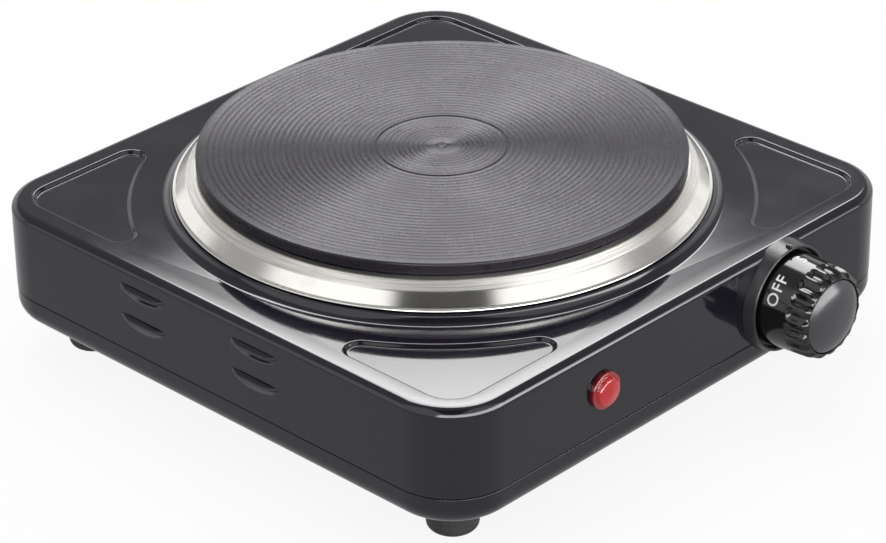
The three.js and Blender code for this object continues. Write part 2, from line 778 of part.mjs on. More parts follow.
// The collar's wall runs back over the housing's rounded edge and is cut to follow it.
function knobCollar() {
  const bore = shaft.radius + 2 * gap;
  const floorTop = gap + collar.floor;
  const floorUnder = gap + collar.setback;
  const profile = [
    [bore, floorUnder],
    [collar.lipRadius, floorUnder],
    [collar.lipRadius, -collar.back],
    [collar.radius, -collar.back],
    [collar.radius, gap],
    [collar.frontRadius, collar.height - collar.lipRound],
    [collar.frontRadius - collar.lipRound, collar.height],
    [collar.lipRadius + collar.lipRound / 2, collar.height],
    [collar.lipRadius, collar.height - collar.lipRound],
    [collar.lipRadius, floorTop],
    [bore, floorTop],
  ];
  const mark = block(
    span(0, indexMark.width),
    [collar.lipRadius + collar.lipRound, collar.radius + indexMark.raise],
    [floorTop, collar.height - collar.lipRound / 2],
  );
  const screwHole = drill(frameScrew.radius + gap, floorUnder, floorTop);
  return cut(onFront(turnedRing(profile, facets.collar).add(mark), controlPlace), [
    shellSkin(-gap, baseBottom),
    onFront(screwHole, screwPlaces.left),
    onFront(screwHole, screwPlaces.right),
  ]);
}

function thermostatShaft() {
  const body = rod(shaft.radius, -shell.sheet - shaft.tail, shaftTip);
  const flat = block(
    [shaft.flat, shaft.radius + overrun],
    span(0, 2 * shaft.radius + overrun),
    [shaft.flatStart, shaftTip + overrun],
  );
  return onFront(body.subtract(flat), controlPlace);
}

// How far out from the front wall's face a level on Y lies.
function outAt(y) {
  return -y - half.y;
}

// A hole through a piece that lies between two levels on Y behind the front wall.
function holeThrough(y, radius, place, steps = facets.screw) {
  return onFront(drill(radius, outAt(y[1]), outAt(y[0]), steps), place);
}

function thermostatFrame() {
  const y = [frameFront, frameRear];
  const body = block(span(controlPlace.x, frame.width), y, span(controlPlace.z, frameHeight));
  return cut(body, [
    holeThrough(y, shaft.radius + gap, controlPlace, facets.turned),
    holeThrough(y, frameScrew.radius + gap, screwPlaces.left),
    holeThrough(y, frameScrew.radius + gap, screwPlaces.right),
    holeThrough(y, rivet.radius + gap, stackPlace),
  ]);
}

// The thermostat's stack from the frame inwards, as ranges on Y.
function stackRanges() {
  const thickness = {
    front: stack.front,
    spring: blade.spring,
    middle: stack.middle,
    bimetal: blade.bimetal,
    rear: stack.rear,
  };
  const ranges = {};
  let start = frameRear + gap;
  for (const [name, depth] of Object.entries(thickness)) {
    ranges[name] = [start, start + depth];
    start += depth + gap;
  }
  return ranges;
}

const stackY = stackRanges();

function stackSpacer(y) {
  const body = block(span(stackPlace.x, stack.width), y, span(stackPlace.z, stack.height));
  return body.subtract(holeThrough(y, rivet.radius + gap, stackPlace));
}

// A contact blade: its button reaches to the level on Y where the contact's face lies.
function bladeBody(y, faceY) {
  const x = [controlPlace.x - blade.reach, stackPlace.x + blade.tail];
  const strip = block(x, y, span(stackPlace.z, blade.width));
  const out = [outAt(Math.max(...y, faceY)), outAt(Math.min(...y, faceY))];
  const button = onFront(rod(contact.radius, ...out, facets.screw), {
    x: x[0] + contact.inset,
    z: stackPlace.z,
  });
  return strip.subtract(holeThrough(y, rivet.radius + gap, stackPlace)).add(button);
}

function contactFace(side) {
  return (stackY.spring[1] + stackY.bimetal[0]) / 2 + (side * contact.break) / 2;
}

function thermostatRivet() {
  const head = rivet.radius + rivet.proud;
  const rear = outAt(stackY.rear[1]) - gap;
  const profile = [
    [0, rear - rivet.proud],
    [head, rear - rivet.proud],
    [head, rear],
    [rivet.radius, rear],
    [rivet.radius, outAt(frameFront)],
    [0, outAt(frameFront)],
  ];
  return onFront(turned(profile, facets.screw), stackPlace);
}

function thermostatScrew(place) {
  const seat = gap + collar.floor + gap;
  return onFront(headedPin(frameScrew, outAt(frameRear) - frameScrew.tail, seat), place);
}

function lampLens() {
  const top = gap + lens.flange;
  const bevel = lens.flange / 3;
  const dome = lensDomeShares.map(([out, up]) => [lens.domeRadius * out, top + lens.dome * up]);
  const profile = [
    [lensInside.bore, -lens.depth],
    [lens.barrelRadius, -lens.depth],
    [lens.barrelRadius, gap],
    [lens.flangeRadius, gap],
    [lens.flangeRadius, top - bevel],
    [lens.flangeRadius - bevel, top],
    ...dome,
    [0, top + lens.dome - lensInside.roof],
    [lensInside.bore, top],
  ];
  return onFront(turnedRing(profile), lampPlace);
}

function lampClipRing() {
  const top = -shell.sheet - gap;
  return onFront(washerBody(lampClip.radius, lens.barrelRadius + gap, top - lampClip.sheet, top), lampPlace);
}

function neonBulb() {
  const bevel = bulb.radius / 3;
  const profile = [
    [0, bulbRear],
    [bulb.radius, bulbRear],
    [bulb.radius, gap - 2 * bevel],
    [bulb.radius - bevel, gap - bevel / 2],
    [0, gap],
  ];
  return onFront(turned(profile), lampPlace);
}

function cordGland() {
  const face = -shell.sheet - gap;
  const profile = [
    [gland.bore, face - gland.innerHeight],
    [gland.inner - gland.innerHeight / 2, face - gland.innerHeight],
    [gland.inner, face],
    [gland.neck, face],
    [gland.neck, gap],
    [gland.outer, gap],
    [gland.outer - gland.outerHeight / 4, gland.outerHeight],
    [gland.bore, gland.outerHeight],
  ];
  return onRear(turnedRing(profile), inletPlace);
}

function mainsBlock() {
  const { width, depth } = mainsSize;
  const body = block(span(mains.x, width), span(mains.y, depth), [mainsLow, mainsTop]);
  return body.subtract(at(drill(mainsScrew.radius + gap, mainsLow, mainsTop), mains));
}

function earthTagBody() {
  const z = [tagLow, tagHigh];
  const tail = block([-earthTag.tail, 0], span(0, earthTag.tailWidth), z);
  const ring = rod(earthTag.radius, tagLow, tagHigh).add(tail);
  return at(ring.subtract(drill(earthScrew.radius + gap, tagLow, tagHigh)), earth);
}

// An insulated wire: it leaves start along leave, passes the places between and reaches end along arrive.
function wireBody({ start, leave, between, end, arrive }) {
  const places = between.map(([x, y, level]) => new THREE.Vector3(x * half.x, y * half.y, level));
  const away = start.clone().addScaledVector(leave, wire.lead);
  const near = end.clone().addScaledVector(arrive, -wire.lead);
  const route = [start, away, ...places, near, end];
  const extrudePath = new THREE.CatmullRomCurve3(route, false, 'centripetal');
  const ring = arcPoints(0, 0, wire.radius, 0, 2 * Math.PI, facets.wireSides).slice(0, -1);
  const options = { steps: facets.wireSteps, bevelEnabled: false, extrudePath };
  return solid(new THREE.ExtrudeGeometry(new THREE.Shape(ring), options));
}

// In front of the mains terminal block and to its right, where the earth wire turns back.
const besideMains = {
  x: mains.x + mainsSize.width / 2 + wire.lead,
  y: mains.y - mainsSize.depth / 2 - 2 * wire.lead,
};

// Where each wire passes: share of the casing's half width, share of its half depth, level.
const routeShares = {
  liveIn: [
    [-0.58, 0.2, lowRun],
    [0.1, -0.3, lowRun],
    [0.7, -0.42, lowRun],
    [0.85, -0.72, lowRun],
  ],
  liveOut: [
    [0.74, -0.6, highRun],
    [0.5, 0.1, highRun],
  ],
  neutral: [[-0.38, 0.36, highRun]],
  lampLive: [
    [-0.24, -0.5, highRun],
    [0.02, -0.1, highRun],
  ],
  lampNeutral: [
    [-0.42, -0.5, highRun],
    [-0.2, -0.08, highRun],
  ],
  earth: [[besideMains.x / half.x, besideMains.y / half.y, lowRun]],
};

const toLeft = new THREE.Vector3(-1, 0, 0);
const toRight = new THREE.Vector3(1, 0, 0);
const toFront = new THREE.Vector3(0, -1, 0);
const toRear = new THREE.Vector3(0, 1, 0);

// A port in the mains terminal block's front face.
function mainsPort(slot) {
  const face = mains.y - mainsSize.depth / 2 - gap;
  return new THREE.Vector3(mains.x + slot * mainsSize.wirePitch, face, (mainsLow + mainsTop) / 2);
}

function bladeTail(y, shift) {
  const x = stackPlace.x + blade.tail + gap;
  return new THREE.Vector3(x, (y[0] + y[1]) / 2, stackPlace.z + shift);
}

function bulbLead(side) {
  const x = lampPlace.x + side * (wire.radius + gap / 2);
  return new THREE.Vector3(x, -half.y - bulbRear + gap, lampPlace.z);
}

// A point beside an element pin, clear of it in one direction.
function besidePin(place, direction) {
  const point = new THREE.Vector3(place.x, place.y, pinBottom + wire.radius);
  return point.addScaledVector(direction, pin.radius + gap);
}

function tagTail() {
  const x = earth.x - earthTag.tail - gap;
  return new THREE.Vector3(x, earth.y, tagLow + wire.radius);
}

function piece(name, body, surface) {
  const mesh = body.getMesh();
  const geometry = new THREE.BufferGeometry();
  geometry.setAttribute('position', new THREE.BufferAttribute(mesh.vertProperties, 3));
  geometry.setIndex(new THREE.BufferAttribute(mesh.triVerts, 1));
  const made = new THREE.Mesh(geometry, new THREE.MeshStandardMaterial({ ...surface, flatShading: true }));
  made.name = name;
  return made;
}

function casing() {
  const group = new THREE.Group();
  group.add(piece('housing', housingBody(), finish.blackPaint));
  group.add(piece('base_cover', baseCover(), finish.blackPaint));
  const footScrew = risingScrew(foot.recess - gap, screw.footLength);
  const coverScrew = risingScrew(baseBottom - gap, screw.coverLength);
  for (const [name, { x, y }] of Object.entries(corners)) {
    const footPlace = { x: x * footX, y: y * footY };
    const bracketPlace = { x: x * bracketScrewX, y: y * bracket.y };
    group.add(piece(`foot_${name}`, at(footBody(), footPlace), finish.rubber));
    group.add(piece(`foot_screw_${name}`, at(footScrew, footPlace), finish.zinc));
    group.add(piece(`cover_screw_${name}`, at(coverScrew, bracketPlace), finish.zinc));
  }
  return group;
}

function hotPlate() {
  const washerLow = washerTop - washer.thickness;
  return new THREE.Group().add(
    piece('heating_plate', plateBody(), finish.castIron),
    piece('trim_ring', trimRing(), finish.steel),
    piece('element_infill', elementInfill(), finish.ceramic),
    piece('element_terminal_block', elementTerminals(), finish.ceramic),
    piece('element_pin_neutral', elementPin(pinPlaces.neutral), finish.zinc),
    piece('element_pin_live', elementPin(pinPlaces.live), finish.zinc),
    piece('plate_bottom_cover', bottomCover(), finish.zinc),
    piece('centre_stud', rod(stud.radius, clampNutBottom - stud.tail, studTop, facets.screw), finish.zinc),
    piece('plate_nut', hexNut(plateNutTop - nut.plateHeight, plateNutTop), finish.zinc),
    piece('clamp_bar', clampBar(), finish.zinc),
    piece('heat_shield', heatShield(), finish.zinc),
    piece('clamp_washer', washerBody(washer.radius, stud.radius + gap, washerLow, washerTop), finish.zinc),
    piece('clamp_nut', hexNut(clampNutBottom, clampNutTop), finish.zinc),
  );
}

function controls() {
  return new THREE.Group().add(
    piece('knob', knobBody(), finish.blackPlastic),
    piece('knob_cap', knobCap(), finish.satinPlastic),
    piece('knob_collar', knobCollar(), finish.blackPlastic),
    piece('thermostat_shaft', thermostatShaft(), finish.zinc),
    piece('thermostat_frame', thermostatFrame(), finish.zinc),
    piece('thermostat_spacer_front', stackSpacer(stackY.front), finish.ceramic),
    piece('thermostat_spacer_middle', stackSpacer(stackY.middle), finish.ceramic),
    piece('thermostat_spacer_rear', stackSpacer(stackY.rear), finish.ceramic),
    piece('thermostat_spring', bladeBody(stackY.spring, contactFace(-1)), finish.brass),
    piece('thermostat_bimetal', bladeBody(stackY.bimetal, contactFace(1)), finish.brass),
    piece('thermostat_rivet', thermostatRivet(), finish.zinc),
    piece('thermostat_screw_left', thermostatScrew(screwPlaces.left), finish.zinc),
    piece('thermostat_screw_right', thermostatScrew(screwPlaces.right), finish.zinc),
    piece('lamp_lens', lampLens(), finish.redLens),
    piece('lamp_clip', lampClipRing(), finish.zinc),
    piece('neon_bulb', neonBulb(), finish.glass),
  );
}

function mainsAndEarth() {
  const mainsPin = headedPin(mainsScrew, baseBottom - mainsScrew.tail, mainsTop + gap);
  const earthPin = headedPin(earthScrew, baseBottom - earthScrew.tail, tagHigh + gap);
  return new THREE.Group().add(
    piece('cord_gland', cordGland(), finish.rubber),
    piece('mains_terminal_block', mainsBlock(), finish.ceramic),
    piece('mains_terminal_screw', at(mainsPin, mains), finish.zinc),
    piece('earth_tag', earthTagBody(), finish.brass),
    piece('earth_screw', at(earthPin, earth), finish.zinc),
  );
}

function wiring() {
  const liveIn = wireBody({
    start: mainsPort(-1),
    leave: toFront,
    between: routeShares.liveIn,
    end: bladeTail(stackY.spring, blade.width / 4),
    arrive: toLeft,
  });
  const liveOut = wireBody({
    start: bladeTail(stackY.bimetal, -blade.width / 4),
    leave: toRight,
    between: routeShares.liveOut,
    end: besidePin(pinPlaces.live, toRight),
    arrive: toLeft,
  });
  const neutral = wireBody({
    start: mainsPort(0),
    leave: toFront,
    between: routeShares.neutral,
    end: besidePin(pinPlaces.neutral, toLeft),
    arrive: toRight,
  });
  const lampLive = wireBody({
    start: bulbLead(1),
    leave: toRear,
    between: routeShares.lampLive,
    end: besidePin(pinPlaces.live, toFront),
    arrive: toRear,
  });
  const lampNeutral = wireBody({
    start: bulbLead(-1),
    leave: toRear,
    between: routeShares.lampNeutral,
    end: besidePin(pinPlaces.neutral, toFront),
    arrive: toRear,
  });
  const earthLead = wireBody({
    start: mainsPort(1),
    leave: toFront,
    between: routeShares.earth,
    end: tagTail(),
    arrive: toRight,
  });
  return new THREE.Group().add(
    piece('wire_live_in', liveIn, finish.wireRed),
    piece('wire_live_out', liveOut, finish.wireRed),
    piece('wire_neutral', neutral, finish.wireBlue),
    piece('wire_lamp_live', lampLive, finish.wireRed),
    piece('wire_lamp_neutral', lampNeutral, finish.wireBlue),
    piece('wire_earth', earthLead, finish.wireGreen),
  );
}

const assembly = new THREE.Group().add(casing(), hotPlate(), controls(), mainsAndEarth(), wiring());

// The part's origin is the middle of its outer box, on the surface that it stands on.
const box = new THREE.Box3().setFromObject(assembly);
const middle = box.getCenter(new THREE.Vector3());
assembly.position.set(-middle.x, -middle.y, -box.min.z);

export default assembly;
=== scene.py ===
"""Hot plate burner with one cast-iron heating plate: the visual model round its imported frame."""

import json
import logging
import math
from dataclasses import dataclass
from enum import Enum
from typing import Callable, Iterable, Sequence

import bmesh
import bpy
from mathutils import Matrix, Vector


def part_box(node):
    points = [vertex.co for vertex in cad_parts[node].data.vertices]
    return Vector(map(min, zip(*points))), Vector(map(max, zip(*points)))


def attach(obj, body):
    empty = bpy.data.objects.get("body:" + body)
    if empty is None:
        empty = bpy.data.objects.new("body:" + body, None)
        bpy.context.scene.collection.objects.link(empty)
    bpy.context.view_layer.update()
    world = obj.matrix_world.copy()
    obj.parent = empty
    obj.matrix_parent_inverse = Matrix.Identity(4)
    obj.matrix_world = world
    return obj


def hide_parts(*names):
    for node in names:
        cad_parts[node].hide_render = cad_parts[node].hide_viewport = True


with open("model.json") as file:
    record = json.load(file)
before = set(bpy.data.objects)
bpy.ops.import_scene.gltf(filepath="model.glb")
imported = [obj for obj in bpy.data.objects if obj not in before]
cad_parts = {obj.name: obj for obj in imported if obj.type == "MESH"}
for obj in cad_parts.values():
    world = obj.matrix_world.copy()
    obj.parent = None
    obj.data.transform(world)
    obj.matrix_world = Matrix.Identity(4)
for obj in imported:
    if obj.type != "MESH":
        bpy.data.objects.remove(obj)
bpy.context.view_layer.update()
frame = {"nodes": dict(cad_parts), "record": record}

log = logging.getLogger("hot_plate")

MM = 0.001
SHARP = math.radians(40)
SHEET_EDGE = math.radians(50)
FULL_TURN = 2 * math.pi
QUARTER_TURN = math.pi / 2
UNIT = "base_unit"
CONTROL = "control_knob"

Colour = tuple[float, float, float]
Corner = tuple[float, ...]
Socket = bpy.types.NodeSocket
Solver = dict[str, list]
Bore = tuple[float, float, float]
Range = tuple[float, float]
QUARTERS = ((-1, -1), (1, -1), (-1, 1), (1, 1))
HALF = 102.5
TOP = 53.4
TOP_ROUND = 3.0
KNOB_AT = (43.204, 35.995)
LAMP_AT = (-39.0, 38.0)
INLET_AT = (-60.0, 40.0)
FOOT_AT = (79.9, 79.9)
COVER_SCREW_AT = (90.2, 45.0)
NEAR = 1e-3
WELD = 1e-4
CAP_SIDES = 20


def plate_axis() -> Vector:
    """Returns where the heating plate's axis meets the floor, in metres."""
    low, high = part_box("heating_plate")
    return Vector(((low.x + high.x) / 2, (low.y + high.y) / 2, 0.0))


PLATE_AXIS = plate_axis()


# ---------------------------------------------------------------- shaping


class Form:
    """A mesh on the bench, in millimetres, that bmesh operators shape."""

    step_angle = math.radians(15)

    def __init__(self) -> None:
        """Starts with nothing on the bench."""
        self.bm = bmesh.new()

    def profile(self, corners: Sequence[Corner], closed: bool = False, step: float = 0.0) -> None:
        """Draws a profile in the XZ plane and rounds its corners.

        Args:
            corners: the profile's corners in order, each its distance from the axis, its height
                and, where it is rounded, its radius, in millimetres.
            closed: whether the last corner joins the first.
            step: the longest edge that is left in it, or 0 for any length.
        """
        bm = self.bm
        verts = [bm.verts.new((c[0], 0.0, c[1])) for c in corners]
        pairs = list(zip(verts, verts[1:]))
        if closed:
            pairs.append((verts[-1], verts[0]))
        for pair in pairs:
            bm.edges.new(pair)
        for i, (*here, radius) in enumerate(corners):
            if len(here) < 2:
                continue
            following = corners[(i + 1) % len(corners)]
            arriving = Vector(here) - Vector(corners[i - 1][:2])
            leaving = Vector(following[:2]) - Vector(here)
            turn = arriving.angle(leaving)
            steps = max(2, math.ceil(turn / self.step_angle))
            self.bevel([verts[i]], radius * math.tan(turn / 2), steps, "VERTICES")
        while step > 0.0 and any(e.calc_length() > step for e in bm.edges):
            long = [e for e in bm.edges if e.calc_length() > step]
            bmesh.ops.subdivide_edges(bm, edges=long, cuts=1)

    def bevel(self, geom: list, offset: float, segments: int, affect: str = "EDGES") -> None:
        """Rounds edges or corners.

        Args:
            geom: the edges or vertices.
            offset: how far back the rounding starts.
            segments: its number of steps.
            affect: EDGES or VERTICES.
        """
        bmesh.ops.bevel(
            self.bm,
            geom=geom,
            offset=offset,
            offset_type="OFFSET",
            segments=segments,
            profile=0.5,
            affect=affect,
            material=-1,
        )

    def weld(self) -> None:
        """Joins the vertices that lie on each other."""
        bmesh.ops.remove_doubles(self.bm, verts=self.bm.verts[:], dist=WELD)

    def shift(self, x: float, y: float, z: float) -> None:
        """Moves the whole form by a distance."""
        bmesh.ops.translate(self.bm, verts=self.bm.verts[:], vec=(x, y, z))

    def stretch(self, x: float, y: float, z: float) -> None:
        """Scales or mirrors the whole form."""
        bmesh.ops.scale(self.bm, vec=(x, y, z), verts=self.bm.verts[:])

    def pull(self, made: Solver, way: Sequence[float]) -> list:
        """Moves the vertices that an extrusion made, and returns them.

        Args:
            made: what the extrude operator returned.
            way: how far they move.

        Returns:
            The vertices.
        """
        verts = [v for v in made["geom"] if isinstance(v, bmesh.types.BMVert)]
        bmesh.ops.translate(self.bm, verts=verts, vec=way)
        return verts

    def turn(self, steps: int) -> None:
        """Turns the profile once round the Z axis and joins the seam and the poles.

        Args:
            steps: the number of steps in the turn.
        """
        bmesh.ops.spin(
            self.bm,
            geom=self.bm.verts[:] + self.bm.edges[:],
            cent=(0, 0, 0),
            axis=(0, 0, 1),
            angle=FULL_TURN,
            steps=steps,
            use_merge=True,
        )
        self.weld()

    def take(self, other: "Form") -> None:
        """Adds another form, which is used up.

        Args:
            other: the other form.
        """
        mesh = bpy.data.meshes.new("feature")
        other.bm.to_mesh(mesh)
        other.bm.free()
        self.bm.from_mesh(mesh)
        bpy.data.meshes.remove(mesh)

    def point_outwards(self, towards: Vector | None = None) -> None:
        """Turns every face outwards.

        Args:
            towards: for an open sheet, the way that its highest face along this direction looks.
        """
        faces = self.bm.faces[:]
        bmesh.ops.recalc_face_normals(self.bm, faces=faces)
        if towards is not None:
            self.bm.normal_update()
            top = max(faces, key=lambda f: f.calc_center_median().dot(towards))
            if top.normal.dot(towards) < 0:
                bmesh.ops.reverse_faces(self.bm, faces=faces)

    def edges_where(self, test: Callable[[Vector], bool]) -> list:
        """Returns the edges whose two ends both pass a test on their places."""
        return [e for e in self.bm.edges if all(test(v.co) for v in e.verts)]

    def open_edges(self, test: Callable[[Vector], bool]) -> list:
        """Returns the edges on fewer than two faces whose two ends both pass a test."""
        return [e for e in self.edges_where(test) if len(e.link_faces) < 2]

    def arc(
        self, centre: Sequence[float], radius: float, start: float, sweep: float, steps: int
    ) -> list:
        """Draws an arc in the XY plane by turning one vertex.

        Args:
            centre: the arc's centre.
            radius: its radius.
            start: the angle where it starts.
            sweep: how far it turns.
            steps: how many edges it has.

        Returns:
            Its vertices in order.
        """
        x, y, z = centre
        hub, form = Vector(centre), Form()
        place = (x + radius * math.cos(start), y + radius * math.sin(start), z)
        first = form.bm.verts.new(place)
        bmesh.ops.spin(form.bm, geom=[first], cent=centre, axis=(0, 0, 1), angle=sweep, steps=steps)
        side = math.copysign(1.0, sweep)

        def turned(spot: Vector) -> float:
            """Measures how far round the arc a place is.

            Args:
                spot: the place.

            Returns:
                Its angle from the arc's start.
            """
            spoke = spot - hub
            angle = side * (math.atan2(spoke.y, spoke.x) - start)
            return (angle + WELD) % FULL_TURN

        spots = sorted((v.co.copy() for v in form.bm.verts), key=turned)
        form.bm.free()
        return [self.bm.verts.new(spot) for spot in spots]

    def loop_through(self, arcs: Sequence[Sequence]) -> list:
        """Joins arcs end to end into one closed loop and returns the loop's vertices.

        Args:
            arcs: each arc's vertices in order.

        Returns:
            The loop's vertices.
        """
        verts = [v for arc in arcs for v in arc]
        for pair in zip(verts, verts[1:] + verts[:1]):
            self.bm.edges.new(pair)
        return verts

    def fill(self, edges: Iterable, normal: Sequence[float]) -> None:
        """Fills a flat face that may have holes.

        Args:
            edges: its outline and its holes.
            normal: the way that it looks.
        """
        bmesh.ops.triangle_fill(
            self.bm, use_beauty=True, use_dissolve=False, edges=list(edges), normal=normal
        )

    def drop_faces(self, faces: Iterable) -> None:
        """Takes faces away and leaves their edges."""
        bmesh.ops.delete(self.bm, geom=list(faces), context="FACES_ONLY")

    def fill_level(self, level: float, way: int) -> None:
        """Fills the flat face that looks up (1) or down (-1) at a level, round its holes."""
        self.fill(self.open_edges(lambda p: abs(p.z - level) < NEAR), (0, 0, way))

    def drop_caps(self) -> None:
        """Takes away the faces with many sides, which close a block's two ends."""
        self.drop_faces([f for f in self.bm.faces if len(f.verts) > CAP_SIDES])

    def move(self, matrix: Matrix) -> None:
        """Moves the whole form."""
        bmesh.ops.transform(self.bm, matrix=matrix, verts=self.bm.verts[:])

    def put_out(self, name: str) -> bpy.types.Object:
        """Takes the form off the bench, as an object in the scene.

        Args:
            name: the object's name.

        Returns:
            The object.
        """
        mesh = bpy.data.meshes.new(name)
        self.bm.to_mesh(mesh)
        self.bm.free()
        obj = bpy.data.objects.new(name, mesh)
        bpy.context.scene.collection.objects.link(obj)
        return obj

    @classmethod
    def turned(
        cls, corners: Sequence[Corner], steps: int, closed: bool = False, step: float = 0.0
    ) -> "Form":
        """Turns a form from a profile, as profile and turn make it.

        Args:
            corners: the profile's corners.
            steps: the number of steps in the turn.
            closed: whether the last corner joins the first.
            step: the profile's longest edge, or 0 for any length.

        Returns:
            The form.
        """
        form = cls()
        form.profile(corners, closed, step)
        form.turn(steps)
        return form

    @classmethod
    def circle(cls, radius: float, sides: int) -> "Form":
        """Draws a round edge about the origin.

        Args:
            radius: its radius.
            sides: its number of edges.

        Returns:
            The form.
        """
        form = cls()
        bmesh.ops.create_circle(form.bm, cap_ends=False, radius=radius, segments=sides)
        return form


class Wall(Enum):
    """The wall that a turned piece stands on, as the turn of its axis about X."""

    TOP = 0.0
    FRONT = QUARTER_TURN
    REAR = -QUARTER_TURN


@dataclass(frozen=True)
class Place:
    """Where a form goes: its own origin, in millimetres round the plate's axis, and its wall."""

    x: float = 0.0
    y: float = 0.0
    z: float = 0.0
    wall: Wall = Wall.TOP

    def matrix(self) -> Matrix:
        """Returns the matrix from the bench, in millimetres, to the frame, in metres."""
        spot = Matrix.Translation(Vector((self.x, self.y, self.z)) * MM + PLATE_AXIS)
        return spot @ Matrix.Rotation(self.wall.value, 4, "X") @ Matrix.Scale(MM, 4)


@dataclass(frozen=True)
class Dress:
    """What a piece is made of and what it stands for."""

    material: bpy.types.Material
    slot: str
    stands_for: tuple[str, ...] = ()
    body: str = UNIT


@dataclass(frozen=True)
class Sheet:
    """A piece bent from sheet: its thickness and edge rounding, and the way its top face looks."""

    thickness: float
    edge: float
    looks: tuple[float, float, float] | None = None


def settle(obj: bpy.types.Object, dress: Dress) -> None:
    """Gives a finished object its material and body, and hides what it stands for.

    Args:
        obj: the object.
        dress: what it wears and stands for.
    """
    obj.data.materials.clear()
    obj.data.materials.append(dress.material)
    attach(obj, dress.body)
    if dress.stands_for:
        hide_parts(*dress.stands_for)
    log.info("made %s with %d faces", obj.name, len(obj.data.polygons))


def make_piece(
    form: Form, name: str, place: Place, dress: Dress, sheet: Sheet | None = None
) -> None:
    """Turns a form into a finished object.

    Args:
        form: the form, which is used up.
        name: the piece's name.
        place: where it goes.
        dress: its material, slot, body and the nodes that it stands for.
        sheet: for a piece bent from sheet, its wall.
    """
    form.point_outwards(Vector(sheet.looks) if sheet and sheet.looks else None)
    form.move(place.matrix())
    obj = form.put_out(name)
    obj.data.shade_smooth()
    if sheet:
        wall = obj.modifiers.new("sheet", "SOLIDIFY")
        wall.thickness = sheet.thickness * MM
        wall.offset = -1.0
        wall.use_even_offset = True
        rounding = obj.modifiers.new("edge", "BEVEL")
        rounding.width = sheet.edge * MM
        rounding.segments = 2
        rounding.limit_method = "ANGLE"
        rounding.angle_limit = SHEET_EDGE
    else:
        obj.data.set_sharp_from_angle(angle=SHARP)
    obj.modifiers.new("shading", "WEIGHTED_NORMAL").keep_sharp = True
    settle(obj, dress)


# ---------------------------------------------------------------- finishes


